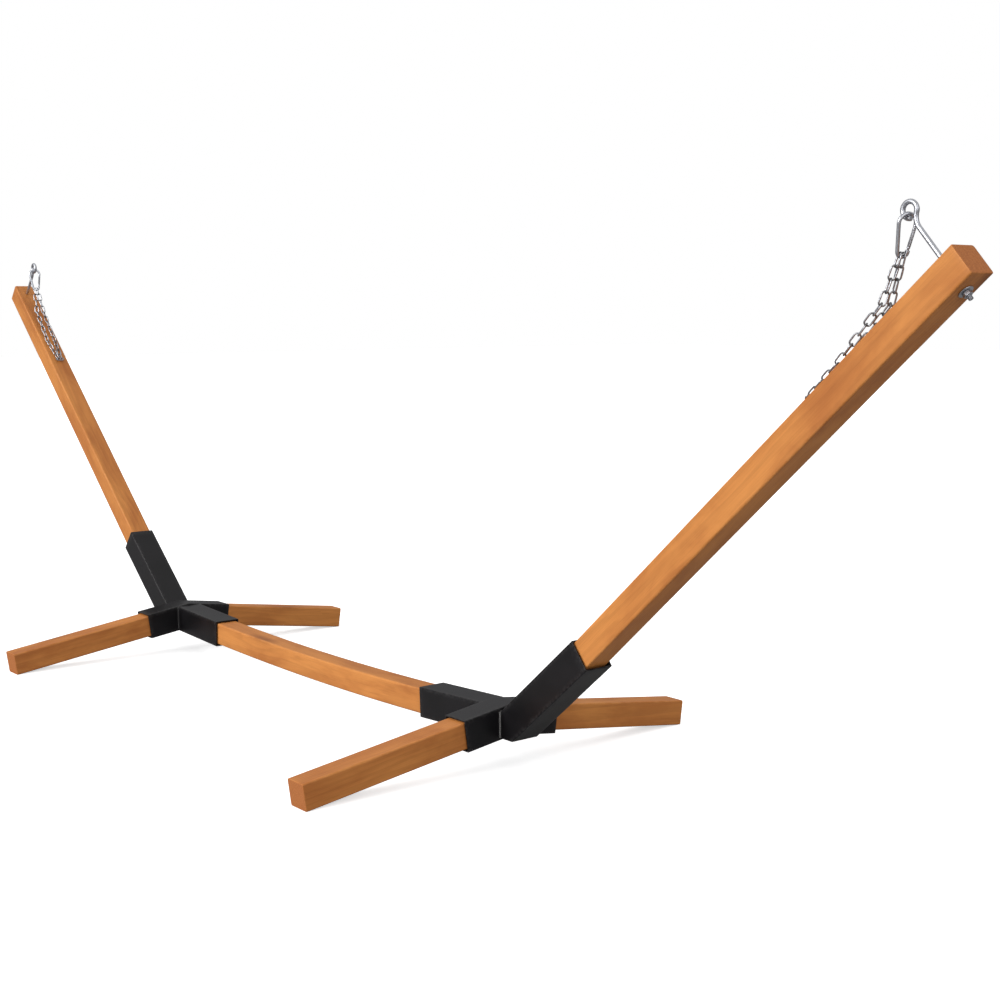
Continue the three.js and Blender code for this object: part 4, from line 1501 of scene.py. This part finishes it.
class STAND_OT_stage(StandOperator, bpy.types.Operator):
    """Make the floor, the light and the camera"""

    bl_idname = "stand.stage"
    bl_label = "Stage"

    def execute(self, context):
        scene = context.scene
        settings = scene.stand_stage
        half = settings.floor_size / 2
        mesh = bpy.data.meshes.new("floor")
        corners = [(-half, -half, 0), (half, -half, 0), (half, half, 0), (-half, half, 0)]
        mesh.from_pydata(corners, [], [(0, 1, 2, 3)])
        floor = bpy.data.objects.new("floor", mesh)
        scene.collection.objects.link(floor)
        material, n, shader = new_material("pale_floor")
        # The floor is seen white, and throws back only a little light, so that undersides stay dark.
        seen = n.add("ShaderNodeLightPath").outputs["Is Camera Ray"]
        links = material.node_tree.links
        colour_out = n.mix(seen, (FLOOR_THROWN,) * 3, (FLOOR_SEEN,) * 3)
        links.new(colour_out, shader.inputs["Base Color"])
        links.new(n.mix(seen, (0.0, 0.0, 0.0), (FLOOR_GLOW,) * 3), shader.inputs["Emission Color"])
        shader.inputs["Emission Strength"].default_value = 1.0
        shader.inputs["Roughness"].default_value = 0.9
        shader.inputs["Specular IOR Level"].default_value = 0.1
        mesh.materials.append(material)
        self.add_world(scene)
        self.add_light("key_light", KEY_PLACE, settings.key_power, settings.key_spread)
        self.add_light("fill_light", FILL_PLACE, settings.fill_power, settings.fill_spread)
        self.add_camera(scene, settings)
        scene.view_settings.view_transform = "Standard"
        return {"FINISHED"}

    def add_world(self, scene):
        """A dim surround, lightest overhead, that is itself seen white."""
        world = bpy.data.worlds.new("studio")
        world.use_nodes = True
        scene.world = world
        n = Nodes(world.node_tree)
        back = world.node_tree.nodes["Background"]
        direction = n.add("ShaderNodeTexCoord").outputs["Generated"]
        rise = n.ramp(n.add("ShaderNodeSeparateXYZ", {0: direction}).outputs[2], 0.1, 0.7)
        shade = n.mix(rise, SURROUND_LOW, SURROUND_HIGH)
        seen = n.add("ShaderNodeLightPath").outputs["Is Camera Ray"]
        world.node_tree.links.new(n.mix(seen, shade, (1.0, 1.0, 1.0)), back.inputs["Color"])

    def add_light(self, name, place, power, spread):
        """A wide soft light that faces the stand from a place."""
        light = bpy.data.lights.new(name, "SUN")
        light.angle, light.energy = spread, power
        obj = bpy.data.objects.new(name, light)
        obj.matrix_world = looking(np.array(place, float), -np.array(place, float))
        bpy.context.scene.collection.objects.link(obj)

    def add_camera(self, scene, settings):
        """The camera stands in front and to the right, a little above the masts' middle."""
        camera = bpy.data.cameras.new("camera")
        camera.lens, camera.sensor_width = settings.lens, 36
        camera.clip_end = 200
        level = math.cos(CAMERA_PITCH)
        east, north = -math.sin(CAMERA_YAW) * level, math.cos(CAMERA_YAW) * level
        ahead = np.array((east, north, math.sin(CAMERA_PITCH)))
        obj = bpy.data.objects.new("camera", camera)
        obj.matrix_world = looking(np.array(CAMERA_PLACE), ahead, CAMERA_ROLL)
        scene.collection.objects.link(obj)
        scene.camera = obj


def looking(place, ahead, roll=0.0):
    """Matrix of a camera or light at a place that faces ahead, with +Z up, then rolled."""
    back = -ahead / np.linalg.norm(ahead)
    right = np.cross((0.0, 0.0, 1.0), back)
    right /= np.linalg.norm(right)
    up = np.cross(back, right)
    c, s = math.cos(roll), math.sin(roll)
    rolled = np.stack((c * right + s * up, c * up - s * right, back), -1)
    matrix = np.eye(4)
    matrix[:3, :3], matrix[:3, 3] = rolled, place
    return Matrix(matrix.tolist())


OPERATORS = (
    STAND_OT_feet,
    STAND_OT_spine,
    STAND_OT_masts,
    STAND_OT_brackets,
    STAND_OT_screws,
    STAND_OT_eye_bolts,
    STAND_OT_snap_hooks,
    STAND_OT_chains,
    STAND_OT_stage,
)
GROUPS = {
    "stand_frame": StandFrameSizes,
    "stand_hardware": StandHardwareSizes,
    "stand_finishes": StandFinishes,
    "stand_stage": StandStageSettings,
}


class STAND_PT_panel(bpy.types.Panel):
    """Lists the operators in the order in which they build the stand"""

    bl_idname = "STAND_PT_panel"
    bl_label = "Hammock Stand"
    bl_space_type = "VIEW_3D"
    bl_region_type = "UI"
    bl_category = "Stand"

    def draw(self, context):
        for operator in OPERATORS:
            self.layout.operator(operator.bl_idname)


def register():
    """Registers the classes and hangs the property groups on the scene."""
    for cls in (*GROUPS.values(), *OPERATORS, STAND_PT_panel):
        bpy.utils.register_class(cls)
    for name, cls in GROUPS.items():
        setattr(bpy.types.Scene, name, PointerProperty(type=cls))


def unregister():
    """Takes back what register did."""
    for name in GROUPS:
        delattr(bpy.types.Scene, name)
    for cls in reversed((*GROUPS.values(), *OPERATORS, STAND_PT_panel)):
        bpy.utils.unregister_class(cls)


def main():
    """Builds every piece."""
    register()
    for operator in OPERATORS:
        getattr(bpy.ops.stand, operator.bl_idname.split(".")[1])()


if __name__ == "__main__":
    main()
